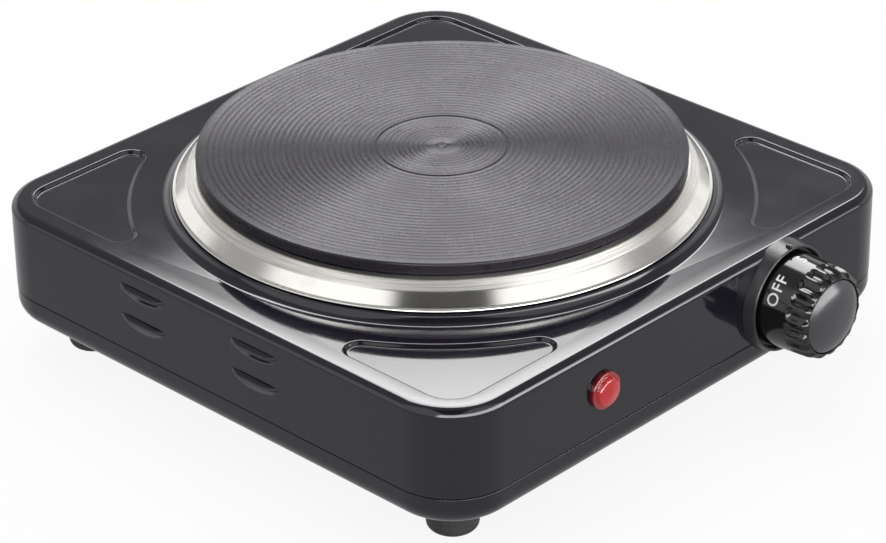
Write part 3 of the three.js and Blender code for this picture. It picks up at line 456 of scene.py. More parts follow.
class Nodes:
    """Writes a node tree node by node, with places in millimetres on the object."""

    def __init__(self, tree: bpy.types.NodeTree) -> None:
        """Clears a node tree to write in it."""
        self.tree = tree
        tree.nodes.clear()

    def add(self, kind: str, inputs: dict | None = None, **settings) -> bpy.types.Node:
        """Adds a node.

        Args:
            kind: the node's type.
            inputs: for each input, by name or number, a value or a socket that feeds it.
            **settings: the node's own properties.

        Returns:
            The node.
        """
        node = self.tree.nodes.new(kind)
        for key, value in settings.items():
            setattr(node, key, value)
        for key, value in (inputs or {}).items():
            if isinstance(value, bpy.types.NodeSocket):
                self.tree.links.new(value, node.inputs[key])
            else:
                node.inputs[key].default_value = value
        return node

    def places(self, centre: Vector | None = None) -> Socket:
        """Reads the place on the object in millimetres, counted from a centre in metres.

        Args:
            centre: the centre, or None for the origin.

        Returns:
            The place.
        """
        coords = self.add("ShaderNodeTexCoord").outputs["Object"]
        if centre is not None:
            coords = self.vector("SUBTRACT", {0: coords, 1: tuple(centre)})
        return self.vector("SCALE", {0: coords, "Scale": 1 / MM})

    def vector(self, operation: str, inputs: dict, output: str = "Vector") -> Socket:
        """Returns the outcome of a sum on vectors."""
        return self.add("ShaderNodeVectorMath", inputs, operation=operation).outputs[output]

    def along(self, vector: Socket, way: Sequence[float]) -> Socket:
        """Returns how far a vector goes along a direction."""
        return self.vector("DOT_PRODUCT", {0: vector, 1: way}, "Value")

    def math(self, operation: str, a: Socket | float, b: Socket | float = 0.0) -> Socket:
        """Returns the outcome of a sum on one or two numbers."""
        return self.add("ShaderNodeMath", {0: a, 1: b}, operation=operation).outputs[0]

    def times(self, a: Socket | float, b: Socket | float) -> Socket:
        """Returns a product."""
        return self.math("MULTIPLY", a, b)

    def plus(self, a: Socket | float, b: Socket | float) -> Socket:
        """Returns a sum."""
        return self.math("ADD", a, b)

    def inverse(self, value: Socket) -> Socket:
        """Returns 1 less a value."""
        return self.math("SUBTRACT", 1.0, value)

    def spokes(self, at: Socket) -> tuple[Socket, Socket]:
        """Measures a place from the Z axis.

        Args:
            at: the place.

        Returns:
            The distance and the direction.
        """
        x, y, _ = self.split(at)
        flat = self.join(x, y, 0.0)
        return self.vector("LENGTH", {0: flat}, "Value"), self.vector("NORMALIZE", {0: flat})

    def grooving(self, radius: Socket, spoke: Socket, around: float, across: float) -> Socket:
        """Draws out places round the Z axis for a noise.

        Args:
            radius: the distance from the axis.
            spoke: the direction from the axis.
            around: how fast the noise changes round the axis.
            across: how fast it changes away from the axis, per millimetre.

        Returns:
            The places.
        """
        x, y, _ = self.split(spoke)
        return self.join(self.times(x, around), self.times(y, around), self.times(radius, across))

    def split(self, vector: Socket) -> tuple[Socket, Socket, Socket]:
        """Returns a vector's three parts."""
        node = self.add("ShaderNodeSeparateXYZ", {0: vector})
        return node.outputs[0], node.outputs[1], node.outputs[2]

    def join(self, x: Socket | float, y: Socket | float, z: Socket | float) -> Socket:
        """Returns a vector made of three numbers."""
        return self.add("ShaderNodeCombineXYZ", {0: x, 1: y, 2: z}).outputs[0]

    def noise(self, places: Socket, scale: float, detail: float, rough: float) -> Socket:
        """Returns a noise value with a number of cells per millimetre."""
        inputs = {"Vector": places, "Scale": scale, "Detail": detail, "Roughness": rough}
        return self.add("ShaderNodeTexNoise", inputs).outputs["Fac"]

    def spread(
        self, value: Socket, low: float, high: float, to_low: float = 0.0, to_high: float = 1.0
    ) -> Socket:
        """Eases a value from one range to another.

        Args:
            value: the value.
            low: where the first range starts.
            high: where it ends.
            to_low: where the other range starts.
            to_high: where it ends.

        Returns:
            The eased value.
        """
        node = self.add(
            "ShaderNodeMapRange",
            {0: value, 1: low, 2: high, 3: to_low, 4: to_high},
            interpolation_type="SMOOTHSTEP",
        )
        return node.outputs["Result"]

    def window(self, value: Socket, rise: Range, fall: Range) -> Socket:
        """Returns 1 between two soft edges and 0 outside them."""
        return self.times(self.spread(value, *rise), self.inverse(self.spread(value, *fall)))

    def mix(self, factor: Socket | float, a: Socket | Colour, b: Socket | Colour) -> Socket:
        """Returns a colour between two others."""
        a, b = (c if isinstance(c, bpy.types.NodeSocket) else (*c, 1.0) for c in (a, b))
        return self.add("ShaderNodeMix", {0: factor, 6: a, 7: b}, data_type="RGBA").outputs[2]

    def bump(self, height: Socket, depth: float) -> Socket:
        """Returns a normal bumped by a height whose full range is a depth in millimetres."""
        inputs = {"Height": height, "Strength": 1.0, "Distance": depth * MM}
        return self.add("ShaderNodeBump", inputs).outputs[0]


class Surface(Nodes):
    """A material's node tree with one principled shader."""

    def __init__(self, name: str) -> None:
        """Makes a material with a bare shader.

        Args:
            name: the material's name.
        """
        self.material = bpy.data.materials.new(name)
        self.material.use_nodes = True
        super().__init__(self.material.node_tree)
        self.shader = self.add("ShaderNodeBsdfPrincipled")
        self.add("ShaderNodeOutputMaterial", {0: self.shader.outputs[0]})

    def set(self, **inputs) -> None:
        """Sets the shader's inputs, named with an underscore for each space."""
        for key, value in inputs.items():
            socket = self.shader.inputs[key.replace("_", " ")]
            if isinstance(value, bpy.types.NodeSocket):
                self.tree.links.new(value, socket)
            else:
                socket.default_value = (*value, 1.0) if socket.type == "RGBA" else value


@dataclass(frozen=True)
class BakedEnamel:
    """Glossy black enamel baked on pressed steel."""

    colour: Colour = (0.0105, 0.0090, 0.0150)
    roughness: Range = (0.05, 0.08)

    def material(self) -> bpy.types.Material:
        """Sets up the shader's nodes.

        Returns:
            The material.
        """
        s = Surface("baked_enamel")
        at = s.places()
        peel = s.noise(at, 0.42, 2.0, 0.4)
        grain = s.noise(at, 2.4, 2.0, 0.5)
        smears = s.noise(at, 0.035, 4.0, 0.6)
        dust = s.spread(s.noise(at, 1.7, 2.0, 0.6), 0.72, 0.80)
        height = s.plus(s.times(peel, 0.85), s.times(grain, 0.08))
        rough = s.spread(smears, 0.35, 0.7, *self.roughness)
        s.set(
            Base_Color=s.mix(s.times(dust, 0.35), self.colour, (0.05, 0.05, 0.052)),
            Roughness=s.plus(rough, s.times(dust, 0.06)),
            IOR=1.5,
            Normal=s.bump(height, 0.0014),
        )
        return s.material


@dataclass(frozen=True)
class TurnedIron:
    """Cast iron turned in fine grooves under a dark heat-proof coating."""

    colour: Colour = (0.0088, 0.0078, 0.0125)
    worn: Colour = (0.031, 0.027, 0.034)
    rim_level: float = 68.1
    top: float = 68.6

    def material(self) -> bpy.types.Material:
        """Sets up the shader's nodes.

        Returns:
            The material.
        """
        s = Surface("turned_iron")
        at = s.places(PLATE_AXIS)
        radius, spoke = s.spokes(at)
        z = s.split(at)[2]
        turning = s.noise(s.grooving(radius, spoke, 1.6, 4.5), 1.0, 3.0, 0.6)
        cast = s.noise(at, 0.9, 4.0, 0.6)
        blotch = s.noise(at, 0.05, 4.0, 0.55)
        pits = s.spread(s.noise(at, 1.3, 2.0, 0.5), 0.70, 0.76)
        side = s.spread(z, self.rim_level - 0.5, self.rim_level)
        wear = s.times(s.spread(turning, 0.5, 0.72), s.spread(blotch, 0.35, 0.7))
        tone = s.mix(s.times(wear, 0.55), self.colour, self.worn)
        tone = s.mix(s.times(pits, 0.5), tone, (0.012, 0.011, 0.010))
        rust = s.times(s.spread(s.noise(at, 0.22, 4.0, 0.6), 0.56, 0.72), s.inverse(side))
        tone = s.mix(s.times(rust, 0.5), tone, (0.045, 0.026, 0.016))
        height = s.plus(s.times(turning, 0.7), s.times(cast, 0.5))
        polish = s.plus(s.spread(blotch, 0.3, 0.7, 0.22, 0.27), s.times(cast, 0.05))
        valley = s.spread(z, self.top - 0.04, self.top - 0.16, 0.0, 0.035)
        s.set(
            Base_Color=tone,
            Roughness=s.plus(polish, s.times(valley, side)),
            Specular_IOR_Level=0.33,
            Specular_Tint=(0.97, 0.92, 1.0),
            Anisotropic=0.93,
            Tangent=spoke,
            Normal=s.bump(height, 0.035),
        )
        return s.material


@dataclass(frozen=True)
class BrushedRing:
    """Bright stainless steel, brushed round its inner slope and polished on its outer one."""

    colour: Colour = (0.80, 0.78, 0.745)
    streak: Colour = (0.33, 0.315, 0.295)
    smudge: Colour = (0.42, 0.37, 0.31)
    knee: float = 80.8

    def material(self) -> bpy.types.Material:
        """Sets up the shader's nodes.

        Returns:
            The material.
        """
        s = Surface("brushed_ring")
        at = s.places(PLATE_AXIS)
        radius, spoke = s.spokes(at)
        streaks = s.noise(s.grooving(radius, spoke, 3.0, 3.2), 1.0, 4.0, 0.6)
        hairs = s.noise(s.grooving(radius, spoke, 11.0, 11.0), 1.0, 3.0, 0.65)
        inner = s.inverse(s.spread(radius, self.knee - 0.5, self.knee + 0.5))
        smudge = s.spread(s.noise(at, 0.06, 3.0, 0.5), 0.5, 0.75)
        worn = s.times(s.spread(streaks, 0.42, 0.66), s.times(inner, 0.55))
        tone = s.mix(worn, self.colour, self.streak)
        tone = s.mix(s.times(smudge, 0.22), tone, self.smudge)
        rough = s.plus(s.times(inner, 0.22), 0.09)
        height = s.plus(s.times(streaks, 0.5), s.times(hairs, 0.5))
        s.set(
            Base_Color=tone,
            Metallic=1.0,
            Roughness=s.plus(rough, s.times(hairs, 0.08)),
            Anisotropic=0.75,
            Tangent=spoke,
            Normal=s.bump(height, 0.006),
        )
        return s.material


@dataclass(frozen=True)
class PlainMetal:
    """A plated or bare metal for fasteners and inner parts."""

    name: str
    colour: Colour
    dull: Colour
    roughness: Range = (0.25, 0.42)

    def material(self) -> bpy.types.Material:
        """Sets up the shader's nodes.

        Returns:
            The material.
        """
        s = Surface(self.name)
        at = s.places()
        cloud = s.noise(at, 0.18, 4.0, 0.6)
        grain = s.noise(at, 3.0, 3.0, 0.6)
        s.set(
            Base_Color=s.mix(s.spread(cloud, 0.35, 0.7), self.colour, self.dull),
            Metallic=1.0,
            Roughness=s.spread(cloud, 0.3, 0.7, *self.roughness),
            Normal=s.bump(grain, 0.008),
        )
        return s.material


@dataclass(frozen=True)
class MouldedPlastic:
    """A moulded plastic with a faint flow and moulding texture."""

    name: str
    colour: Colour
    roughness: Range
    texture: float = 0.004
    grain: float = 1.4
    fleck: Colour | None = None

    def material(self) -> bpy.types.Material:
        """Sets up the shader's nodes.

        Returns:
            The material.
        """
        s = Surface(self.name)
        at = s.places()
        cloud = s.noise(at, 0.12, 3.0, 0.55)
        fine = s.noise(at, self.grain, 3.0, 0.55)
        tone = self.fleck or tuple(c * 1.6 + 0.004 for c in self.colour)
        s.set(
            Base_Color=s.mix(s.times(s.spread(fine, 0.58, 0.74), 0.4), self.colour, tone),
            Roughness=s.spread(cloud, 0.35, 0.7, *self.roughness),
            IOR=1.5,
            Normal=s.bump(fine, self.texture),
        )
        return s.material


@dataclass(frozen=True)
class LampRed:
    """Clear red plastic of the indicator's lens, with painted shade and light: darker at its foot
    by the wall, lighter out on its dome.
    """

    colour: Colour = (0.58, 0.012, 0.016)
    # painted shade: the darker red at the lens's foot, and the height over which it fades to the
    # lighter red of the dome
    deep: Colour = (0.16, 0.002, 0.004)
    foot: float = 1.05

    def material(self, origin: Vector) -> bpy.types.Material:
        """Sets up the nodes for a lens whose foot is at an origin in metres.

        Args:
            origin: the middle of the lens's foot.

        Returns:
            The material.
        """
        s = Surface("lamp_red")
        at = s.places(origin)
        out = s.times(s.split(at)[1], -1.0)
        haze = s.noise(at, 0.8, 2.0, 0.5)
        # painted shade and light: dark red at the foot by the wall, lighter red out on the dome
        tone = s.mix(s.spread(out, self.foot * 0.6, self.foot * 2.4), self.deep, self.colour)
        s.set(
            Base_Color=s.mix(s.times(haze, 0.05), tone, (0.75, 0.10, 0.09)),
            Roughness=0.08,
            IOR=1.49,
            Subsurface_Weight=0.25,
            Subsurface_Radius=(0.004, 0.0008, 0.0006),
            Subsurface_Scale=0.5,
            Coat_Weight=0.5,
            Coat_Roughness=0.06,
            Normal=s.bump(haze, 0.01),
        )
        return s.material


@dataclass(frozen=True)
class BraidedSleeve:
    """A braided insulating sleeve on an inner wire."""

    name: str
    colour: Colour

    def material(self) -> bpy.types.Material:
        """Sets up the shader's nodes.

        Returns:
            The material.
        """
        s = Surface(self.name)
        at = s.places()
        weave = s.add("ShaderNodeTexVoronoi", {"Vector": at, "Scale": 2.2}).outputs["Distance"]
        soil = s.noise(at, 0.2, 3.0, 0.6)
        dark = tuple(c * 0.35 for c in self.colour)
        tone = s.mix(s.spread(weave, 0.25, 0.6), self.colour, dark)
        s.set(
            Base_Color=s.mix(s.times(s.spread(soil, 0.5, 0.8), 0.4), tone, (0.08, 0.075, 0.07)),
            Roughness=0.75,
            Normal=s.bump(weave, 0.05),
        )
        return s.material


@dataclass(frozen=True)
class BulbGlass:
    """Clear glass of the neon bulb, a little smoked at its ends."""

    def material(self) -> bpy.types.Material:
        """Sets up the shader's nodes.

        Returns:
            The material.
        """
        s = Surface("bulb_glass")
        haze = s.noise(s.places(), 0.7, 3.0, 0.6)
        s.set(
            Base_Color=s.mix(haze, (0.95, 0.93, 0.90), (0.82, 0.76, 0.68)),
            Roughness=s.spread(haze, 0.3, 0.8, 0.02, 0.12),
            IOR=1.47,
            Transmission_Weight=0.9,
        )
        return s.material


class Finishes:
    """Every finish of the object, made once."""

    def __init__(self) -> None:
        """Makes the materials."""
        self.enamel = BakedEnamel().material()
        self.iron = TurnedIron().material()
        self.ring = BrushedRing().material()
        self.zinc = PlainMetal("zinc_plate", (0.52, 0.53, 0.54), (0.36, 0.36, 0.35)).material()
        self.brass = PlainMetal("bare_brass", (0.60, 0.41, 0.15), (0.42, 0.27, 0.10)).material()
        self.phenolic = MouldedPlastic(
            "phenolic", (0.0065, 0.0065, 0.0072), (0.07, 0.13)
        ).material()
        self.surround = MouldedPlastic(
            "surround", (0.020, 0.0185, 0.022), (0.26, 0.34), 0.006
        ).material()
        self.satin = MouldedPlastic(
            "satin_cap", (0.054, 0.052, 0.060), (0.22, 0.27), 0.006, 4.0
        ).material()
        self.print = MouldedPlastic(
            "dial_print", (0.78, 0.78, 0.77), (0.4, 0.5), 0.004, 3.0, (0.6, 0.6, 0.6)
        ).material()
        self.rubber = MouldedPlastic(
            "black_rubber", (0.016, 0.016, 0.017), (0.55, 0.72), 0.03, 2.0
        ).material()
        self.ceramic = MouldedPlastic(
            "ceramic", (0.74, 0.69, 0.58), (0.6, 0.8), 0.03, 2.5, (0.55, 0.5, 0.4)
        ).material()
        self.glass = BulbGlass().material()
        self.sleeves = {
            "wire_red": BraidedSleeve("sleeve_red", (0.34, 0.022, 0.016)).material(),
            "wire_blue": BraidedSleeve("sleeve_blue", (0.022, 0.065, 0.26)).material(),
            "wire_green": BraidedSleeve("sleeve_green", (0.05, 0.20, 0.04)).material(),
        }

    def by_slot(self) -> dict[str, bpy.types.Material]:
        """Pairs the record's slots that inner nodes use with materials.

        Returns:
            Each slot's material.
        """
        return {
            "zinc_steel": self.zinc,
            "brass": self.brass,
            "ceramic": self.ceramic,
            "bulb_glass": self.glass,
            "rubber": self.rubber,
            "black_paint": self.enamel,
            "bright_steel": self.ring,
            "cast_iron": self.iron,
            **self.sleeves,
        }


@dataclass
class Assembly:
    """A group of pieces and the finishes that it wears."""

    finishes: Finishes

    def build(self) -> None:
        """Builds the group's pieces."""
        raise NotImplementedError


# ---------------------------------------------------------------- casing


class Side(Enum):
    """The casing's four walls, as the quarter turns from the front wall."""

    FRONT = 0
    RIGHT = 1
    REAR = 2
    LEFT = 3

    def outwards(self) -> Vector:
        """Returns the way that the wall faces."""
        return Matrix.Rotation(self.value * QUARTER_TURN, 3, "Z") @ Vector((0, -1, 0))


@dataclass
class Casing:
    """Sizes that the housing and the base cover share, in millimetres."""

    half: float = HALF
    corner: float = 21.0
    corner_steps: int = 16
    sheet: float = 0.8

    def block(self, form: Form, low: float, high: float, inset: float = 0.0) -> None:
        """Raises a block with rounded corners between two levels.

        Args:
            form: the form that takes the block.
            low: its lower level.
            high: its upper level.
            inset: how far it lies inside the casing's walls.
        """
        bm = form.bm
        bmesh.ops.create_grid(bm, x_segments=1, y_segments=1, size=self.half - inset)
        form.bevel(bm.verts[:], self.corner - inset, self.corner_steps, "VERTICES")
        form.shift(0, 0, low)
        form.pull(bmesh.ops.extrude_face_region(bm, geom=bm.faces[:]), (0, 0, high - low))

    def round_rim(self, form: Form, level: float, radius: float, steps: int) -> None:
        """Rounds the block's edge at a level."""
        form.bevel(form.edges_where(lambda p: abs(p.z - level) < NEAR), radius, steps)

    def wall_face(self, form: Form, side: Side) -> bmesh.types.BMFace:
        """Finds the flat face of one wall.

        Args:
            form: the casing's form.
            side: the wall.

        Returns:
            The face.
        """
        out = side.outwards()
        middles = {f: f.calc_center_median().dot(out) for f in form.bm.faces}
        walls = [f for f, middle in middles.items() if abs(middle - self.half) < NEAR]
        return max(walls, key=lambda f: f.calc_area())


@dataclass
class Louvre:
    """A vent pressed out of a side wall, open along its straight upper edge."""

    length: float = 20.5
    height: float = 4.8
    bulge: float = 1.8
    rings: int = 14
    steps: int = 28
    end_fullness: float = 6.0
    lip: float = 0.3
    slit: float = 0.1

    def press(self, side: int, half: float, y: float, z: float) -> Form:
        """Makes the pressed patch for a side wall, with its slit's straight edge.

        Args:
            side: -1 for the left wall or 1 for the right wall.
            half: how far out that wall's face is.
            y: the louvre's middle along the wall.
            z: the level of its upper edge.

        Returns:
            The patch.
        """
        form = Form()
        bm = form.bm
        ends = [bm.verts.new((0, 0, 0)), bm.verts.new((0, 1, 0))]
        bmesh.ops.subdivide_edges(bm, edges=[bm.edges.new(ends)], cuts=self.rings - 1)
        bmesh.ops.spin(
            bm,
            geom=bm.verts[:] + bm.edges[:],
            cent=(0, 0, 0),
            axis=(1, 0, 0),
            angle=-math.pi,
            steps=self.steps,
        )
        form.weld()
        tips = [v for v in bm.verts if abs(abs(v.co.y) - 1) < WELD]
        for vert in bm.verts:
            end = min(abs(vert.co.y), 1.0)
            depth = math.sqrt(max(1 - end**2, 1e-6))
            fall = min(-vert.co.z / depth, 1.0)
            down = min(1.0, -vert.co.z / self.lip)
            lip = self.slit + (1 - self.slit) * math.sin(down * QUARTER_TURN)
            swell = (1 - end**self.end_fullness) * (1 + math.cos(math.pi * fall)) / 2
            out = self.bulge * lip * swell
            along, down = vert.co.y * self.length / 2, vert.co.z * self.height
            vert.co = Vector((side * (half + out), y + along, z + down))
        bm.edges.new(tips)
        return form


@dataclass
class CornerPanel:
    """A panel pressed into the top face between a corner and the platform."""

    margin: float = 8.2
    arc: float = 98.5
    corner: float = 10.0
    tip: float = 5.0
    depth: float = 1.2
    run: float = 0.8
    round: float = 0.75
    reach: float = 4.0
    steps: int = 10

    def levels(self) -> list[tuple[float, float]]:
        """Lists the panel's pressed edge from outside to inside.

        Returns:
            The inset and the drop of each level.
        """
        form = Form()
        before, after = (-self.reach, 0.0), (self.reach, -self.depth)
        edge = [(0.0, 0.0, self.round), (self.run, -self.depth, self.round)]
        form.profile([before, *edge, after])
        points = sorted((v.co.x, v.co.z) for v in form.bm.verts)
        form.bm.free()
        return points[1:-1]

    def draw(self, form: Form, half: float, grow: float, level: float) -> list:
        """Draws the panel's outline in the quarter where x and y are positive.

        Args:
            form: the housing's form.
            half: the casing's half width.
            grow: how far the outline lies outside the panel's edge.
            level: its height.

        Returns:
            The outline's vertices in order.
        """
        side, steps = half - self.margin + grow, self.steps
        corner, tip, arc = self.corner + grow, self.tip + grow, self.arc - grow
        near, far = side - tip, math.sqrt((arc + tip) ** 2 - (side - tip) ** 2)
        lean = math.atan2(near, far)
        other, bend = QUARTER_TURN - lean, QUARTER_TURN + lean
        middle = (side - corner, side - corner, level)
        return form.loop_through(
            [
                form.arc(middle, corner, 0.0, QUARTER_TURN, steps),
                form.arc((far, near, level), tip, QUARTER_TURN, bend, steps),
                form.arc((0, 0, level), arc, lean, other - lean, 3 * steps)[1:-1],
                form.arc((near, far, level), tip, math.pi + other, bend, steps),
            ]
        )

    def press(self, half: float, x: int, y: int, level: float) -> Form:
        """Makes one pressed panel for the corner on side x and end y of the top face.

        Args:
            half: the casing's half width.
            x: the corner's side, -1 or 1.
            y: its end, -1 or 1.
            level: the top face's height.

        Returns:
            The panel.
        """
        form = Form()
        levels = self.levels()
        start, drop = levels[0]
        outline = self.draw(form, half, -start, level + drop)
        face = form.bm.faces.new(outline)
        face.normal_update()
        if face.normal.z < 0:
            face.normal_flip()
        for (inset, up), (next_inset, next_up) in zip(levels, levels[1:]):
            bmesh.ops.inset_region(
                form.bm,
                faces=[face],
                use_boundary=True,
                use_even_offset=True,
                thickness=next_inset - inset,
                depth=next_up - up,
            )
        form.stretch(x, y, 1)
        return form


@dataclass
class Housing(Assembly):
    """The pressed top shell with its platform, corner panels and louvres."""

    casing: Casing
    seam: float = 23.9
    top: float = TOP
    top_round: float = TOP_ROUND
    platform_top: float = 56.0
    platform_hole: float = 79.8
    platform_edge: float = 85.75
    platform_foot: float = 87.0
    edge_round: float = 0.8
    foot_round: float = 3.3
    platform_steps: int = 192
    rim_steps: int = 10
    bore_sides: int = 32
    pressed_edge: float = 0.22
    louvre_y: tuple[float, float] = (-20.8, 28.4)
    louvre_z: tuple[float, float] = (47.2, 36.7)
    front_bores: Sequence[Bore] = ((*KNOB_AT, 3.6), (*LAMP_AT, 4.5))
    inlet_bore: Bore = (*INLET_AT, 7.3)

    def hole(self, wall: Wall, x: float, z: float, radius: float) -> Form:
        """Draws a round hole for the front or rear wall.

        Args:
            wall: the wall.
            x: the hole's place along the wall.
            z: its height.
            radius: its radius.

        Returns:
            The hole's edge.
        """
        form = Form.circle(radius, self.bore_sides)
        side = -self.casing.half if wall is Wall.FRONT else self.casing.half
        form.move(Matrix.Translation((x, side, z)) @ Matrix.Rotation(wall.value, 4, "X"))
        return form

    def cut_wall(self, form: Form, side: Side, features: Sequence[Form]) -> None:
        """Takes a wall's face away, adds its features and fills it again round them.

        Args:
            form: the housing's form.
            side: the wall.
            features: what goes into it.
        """
        out = side.outwards()
        form.drop_faces([self.casing.wall_face(form, side)])
        for feature in features:
            form.take(feature)
        form.fill(form.open_edges(lambda p: abs(p.dot(out) - self.casing.half) < NEAR), out)

    def platform(self) -> Form:
        """Turns the raised platform down to where it meets the top face.

        Returns:
            The platform, open where it meets the top face.
        """
        form = Form()
        form.profile(
            [
                (self.platform_hole, self.platform_top),
                (self.platform_edge, self.platform_top, self.edge_round),
                (self.platform_foot, self.top, self.foot_round),
                (self.platform_foot + self.foot_round, self.top),
            ]
        )
        form.bm.verts.remove(max(form.bm.verts, key=lambda v: v.co.x))
        form.turn(self.platform_steps)
        return form

    def build(self) -> None:
        """Builds the housing."""
        casing, form = self.casing, Form()
        casing.block(form, self.seam, self.top)
        casing.round_rim(form, self.top, self.top_round, self.rim_steps)
        form.drop_caps()
        form.take(self.platform())
        panel, louvre = CornerPanel(), Louvre()
        for x, y in QUARTERS:
            form.take(panel.press(casing.half, x, y, self.top))
        form.fill_level(self.top, 1)
        for side, wall in ((-1, Side.LEFT), (1, Side.RIGHT)):
            places = [(y, z) for y in self.louvre_y for z in self.louvre_z]
            self.cut_wall(form, wall, [louvre.press(side, casing.half, y, z) for y, z in places])
        self.cut_wall(form, Side.FRONT, [self.hole(Wall.FRONT, *bore) for bore in self.front_bores])
        self.cut_wall(form, Side.REAR, [self.hole(Wall.REAR, *self.inlet_bore)])
        form.weld()
        dress = Dress(self.finishes.enamel, "black_paint", ("housing",))
        sheet = Sheet(casing.sheet, self.pressed_edge, (0, 0, 1))
        make_piece(form, "pressed_housing", Place(), dress, sheet)


@dataclass
class ScrewBrackets(Assembly):
    """The bent brackets inside the side walls that take the cover screws."""

    outer: float = 97.3
    reach: float = 13.0
    width: float = 14.0
    low: float = 14.6
    high: float = 27.2
    sheet: float = 1.2
    wall: float = 101.9
    bend: float = 1.6
    pressed_edge: float = 0.15

    def build(self) -> None:
        """Builds the four brackets as one piece."""
        form = Form()
        ledge = [(self.outer - self.reach, self.low), (self.outer, self.low, self.bend)]
        tab = [(self.outer, self.high, self.bend), (self.wall, self.high)]
        for x, y in QUARTERS:
            one = Form()
            one.profile([*ledge, *tab])
            made = bmesh.ops.extrude_edge_only(one.bm, edges=one.bm.edges[:])
            one.pull(made, (0, self.width, 0))
            one.shift(0, y * COVER_SCREW_AT[1] - self.width / 2, 0)
            one.stretch(x, 1, 1)
            form.take(one)
        dress = Dress(self.finishes.zinc, "zinc_steel")
        make_piece(form, "screw_brackets", Place(), dress, Sheet(self.sheet, self.pressed_edge))


@dataclass
class BaseCover(Assembly):
    """The pressed tray that closes the housing from below."""

    casing: Casing
    bottom: float = 13.5
    rim: float = 23.45
    lip_top: float = 26.9
    inset: float = 0.12
    lip_inset: float = 0.98
    round: float = 6.4
    vent_count: int = 12
    vent_inner: float = 24.0
    vent_outer: float = 44.0
    vent_width: float = 4.0
    vent_steps: int = 10
    bore: float = 2.2
    bore_sides: int = 20
    rim_steps: int = 12
    pressed_edge: float = 0.2

    def vent(self, angle: float) -> Form:
        """Draws one slot with round ends.

        Args:
            angle: its direction from the middle.

        Returns:
            The slot's edge.
        """
        form = Form()
        radius = self.vent_width / 2
        outer = (self.vent_outer - radius, 0, self.bottom)
        inner = (self.vent_inner + radius, 0, self.bottom)
        ends = ((outer, -QUARTER_TURN), (inner, QUARTER_TURN))
        steps = self.vent_steps
        form.loop_through([form.arc(hub, radius, start, math.pi, steps) for hub, start in ends])
        form.move(Matrix.Rotation(angle, 4, "Z"))
        return form

    def screw_bore(self, x: float, y: float) -> Form:
        """Draws one screw hole in the floor.

        Args:
            x: its place.
            y: its place.

        Returns:
            The hole's edge.
        """
        form = Form.circle(self.bore, self.bore_sides)
        form.shift(x, y, self.bottom)
        return form

    def build(self) -> None:
        """Builds the tray with its joggled lip, floor vents and screw holes."""
        casing, form = self.casing, Form()
        casing.block(form, self.bottom, self.rim, self.inset)
        casing.round_rim(form, self.bottom, self.round, self.rim_steps)
        caps = [f for f in form.bm.faces if len(f.verts) > CAP_SIDES]
        top = max(caps, key=lambda f: f.calc_center_median().z)
        bmesh.ops.inset_region(
            form.bm, faces=[top], use_boundary=True, use_even_offset=True, thickness=self.lip_inset
        )
        made = bmesh.ops.extrude_face_region(form.bm, geom=[top])
        form.pull(made, (0, 0, self.lip_top - self.rim))
        form.drop_caps()
        for x, y in QUARTERS:
            for out, along in (FOOT_AT, COVER_SCREW_AT):
                form.take(self.screw_bore(x * out, y * along))
        for i in range(self.vent_count):
            form.take(self.vent(FULL_TURN * (i + 0.5) / self.vent_count))
        form.fill_level(self.bottom, -1)
        form.weld()
        dress = Dress(self.finishes.enamel, "black_paint", ("base_cover",))
        sheet = Sheet(casing.sheet, self.pressed_edge, (0, 0, -1))
        make_piece(form, "base_tray", Place(), dress, sheet)


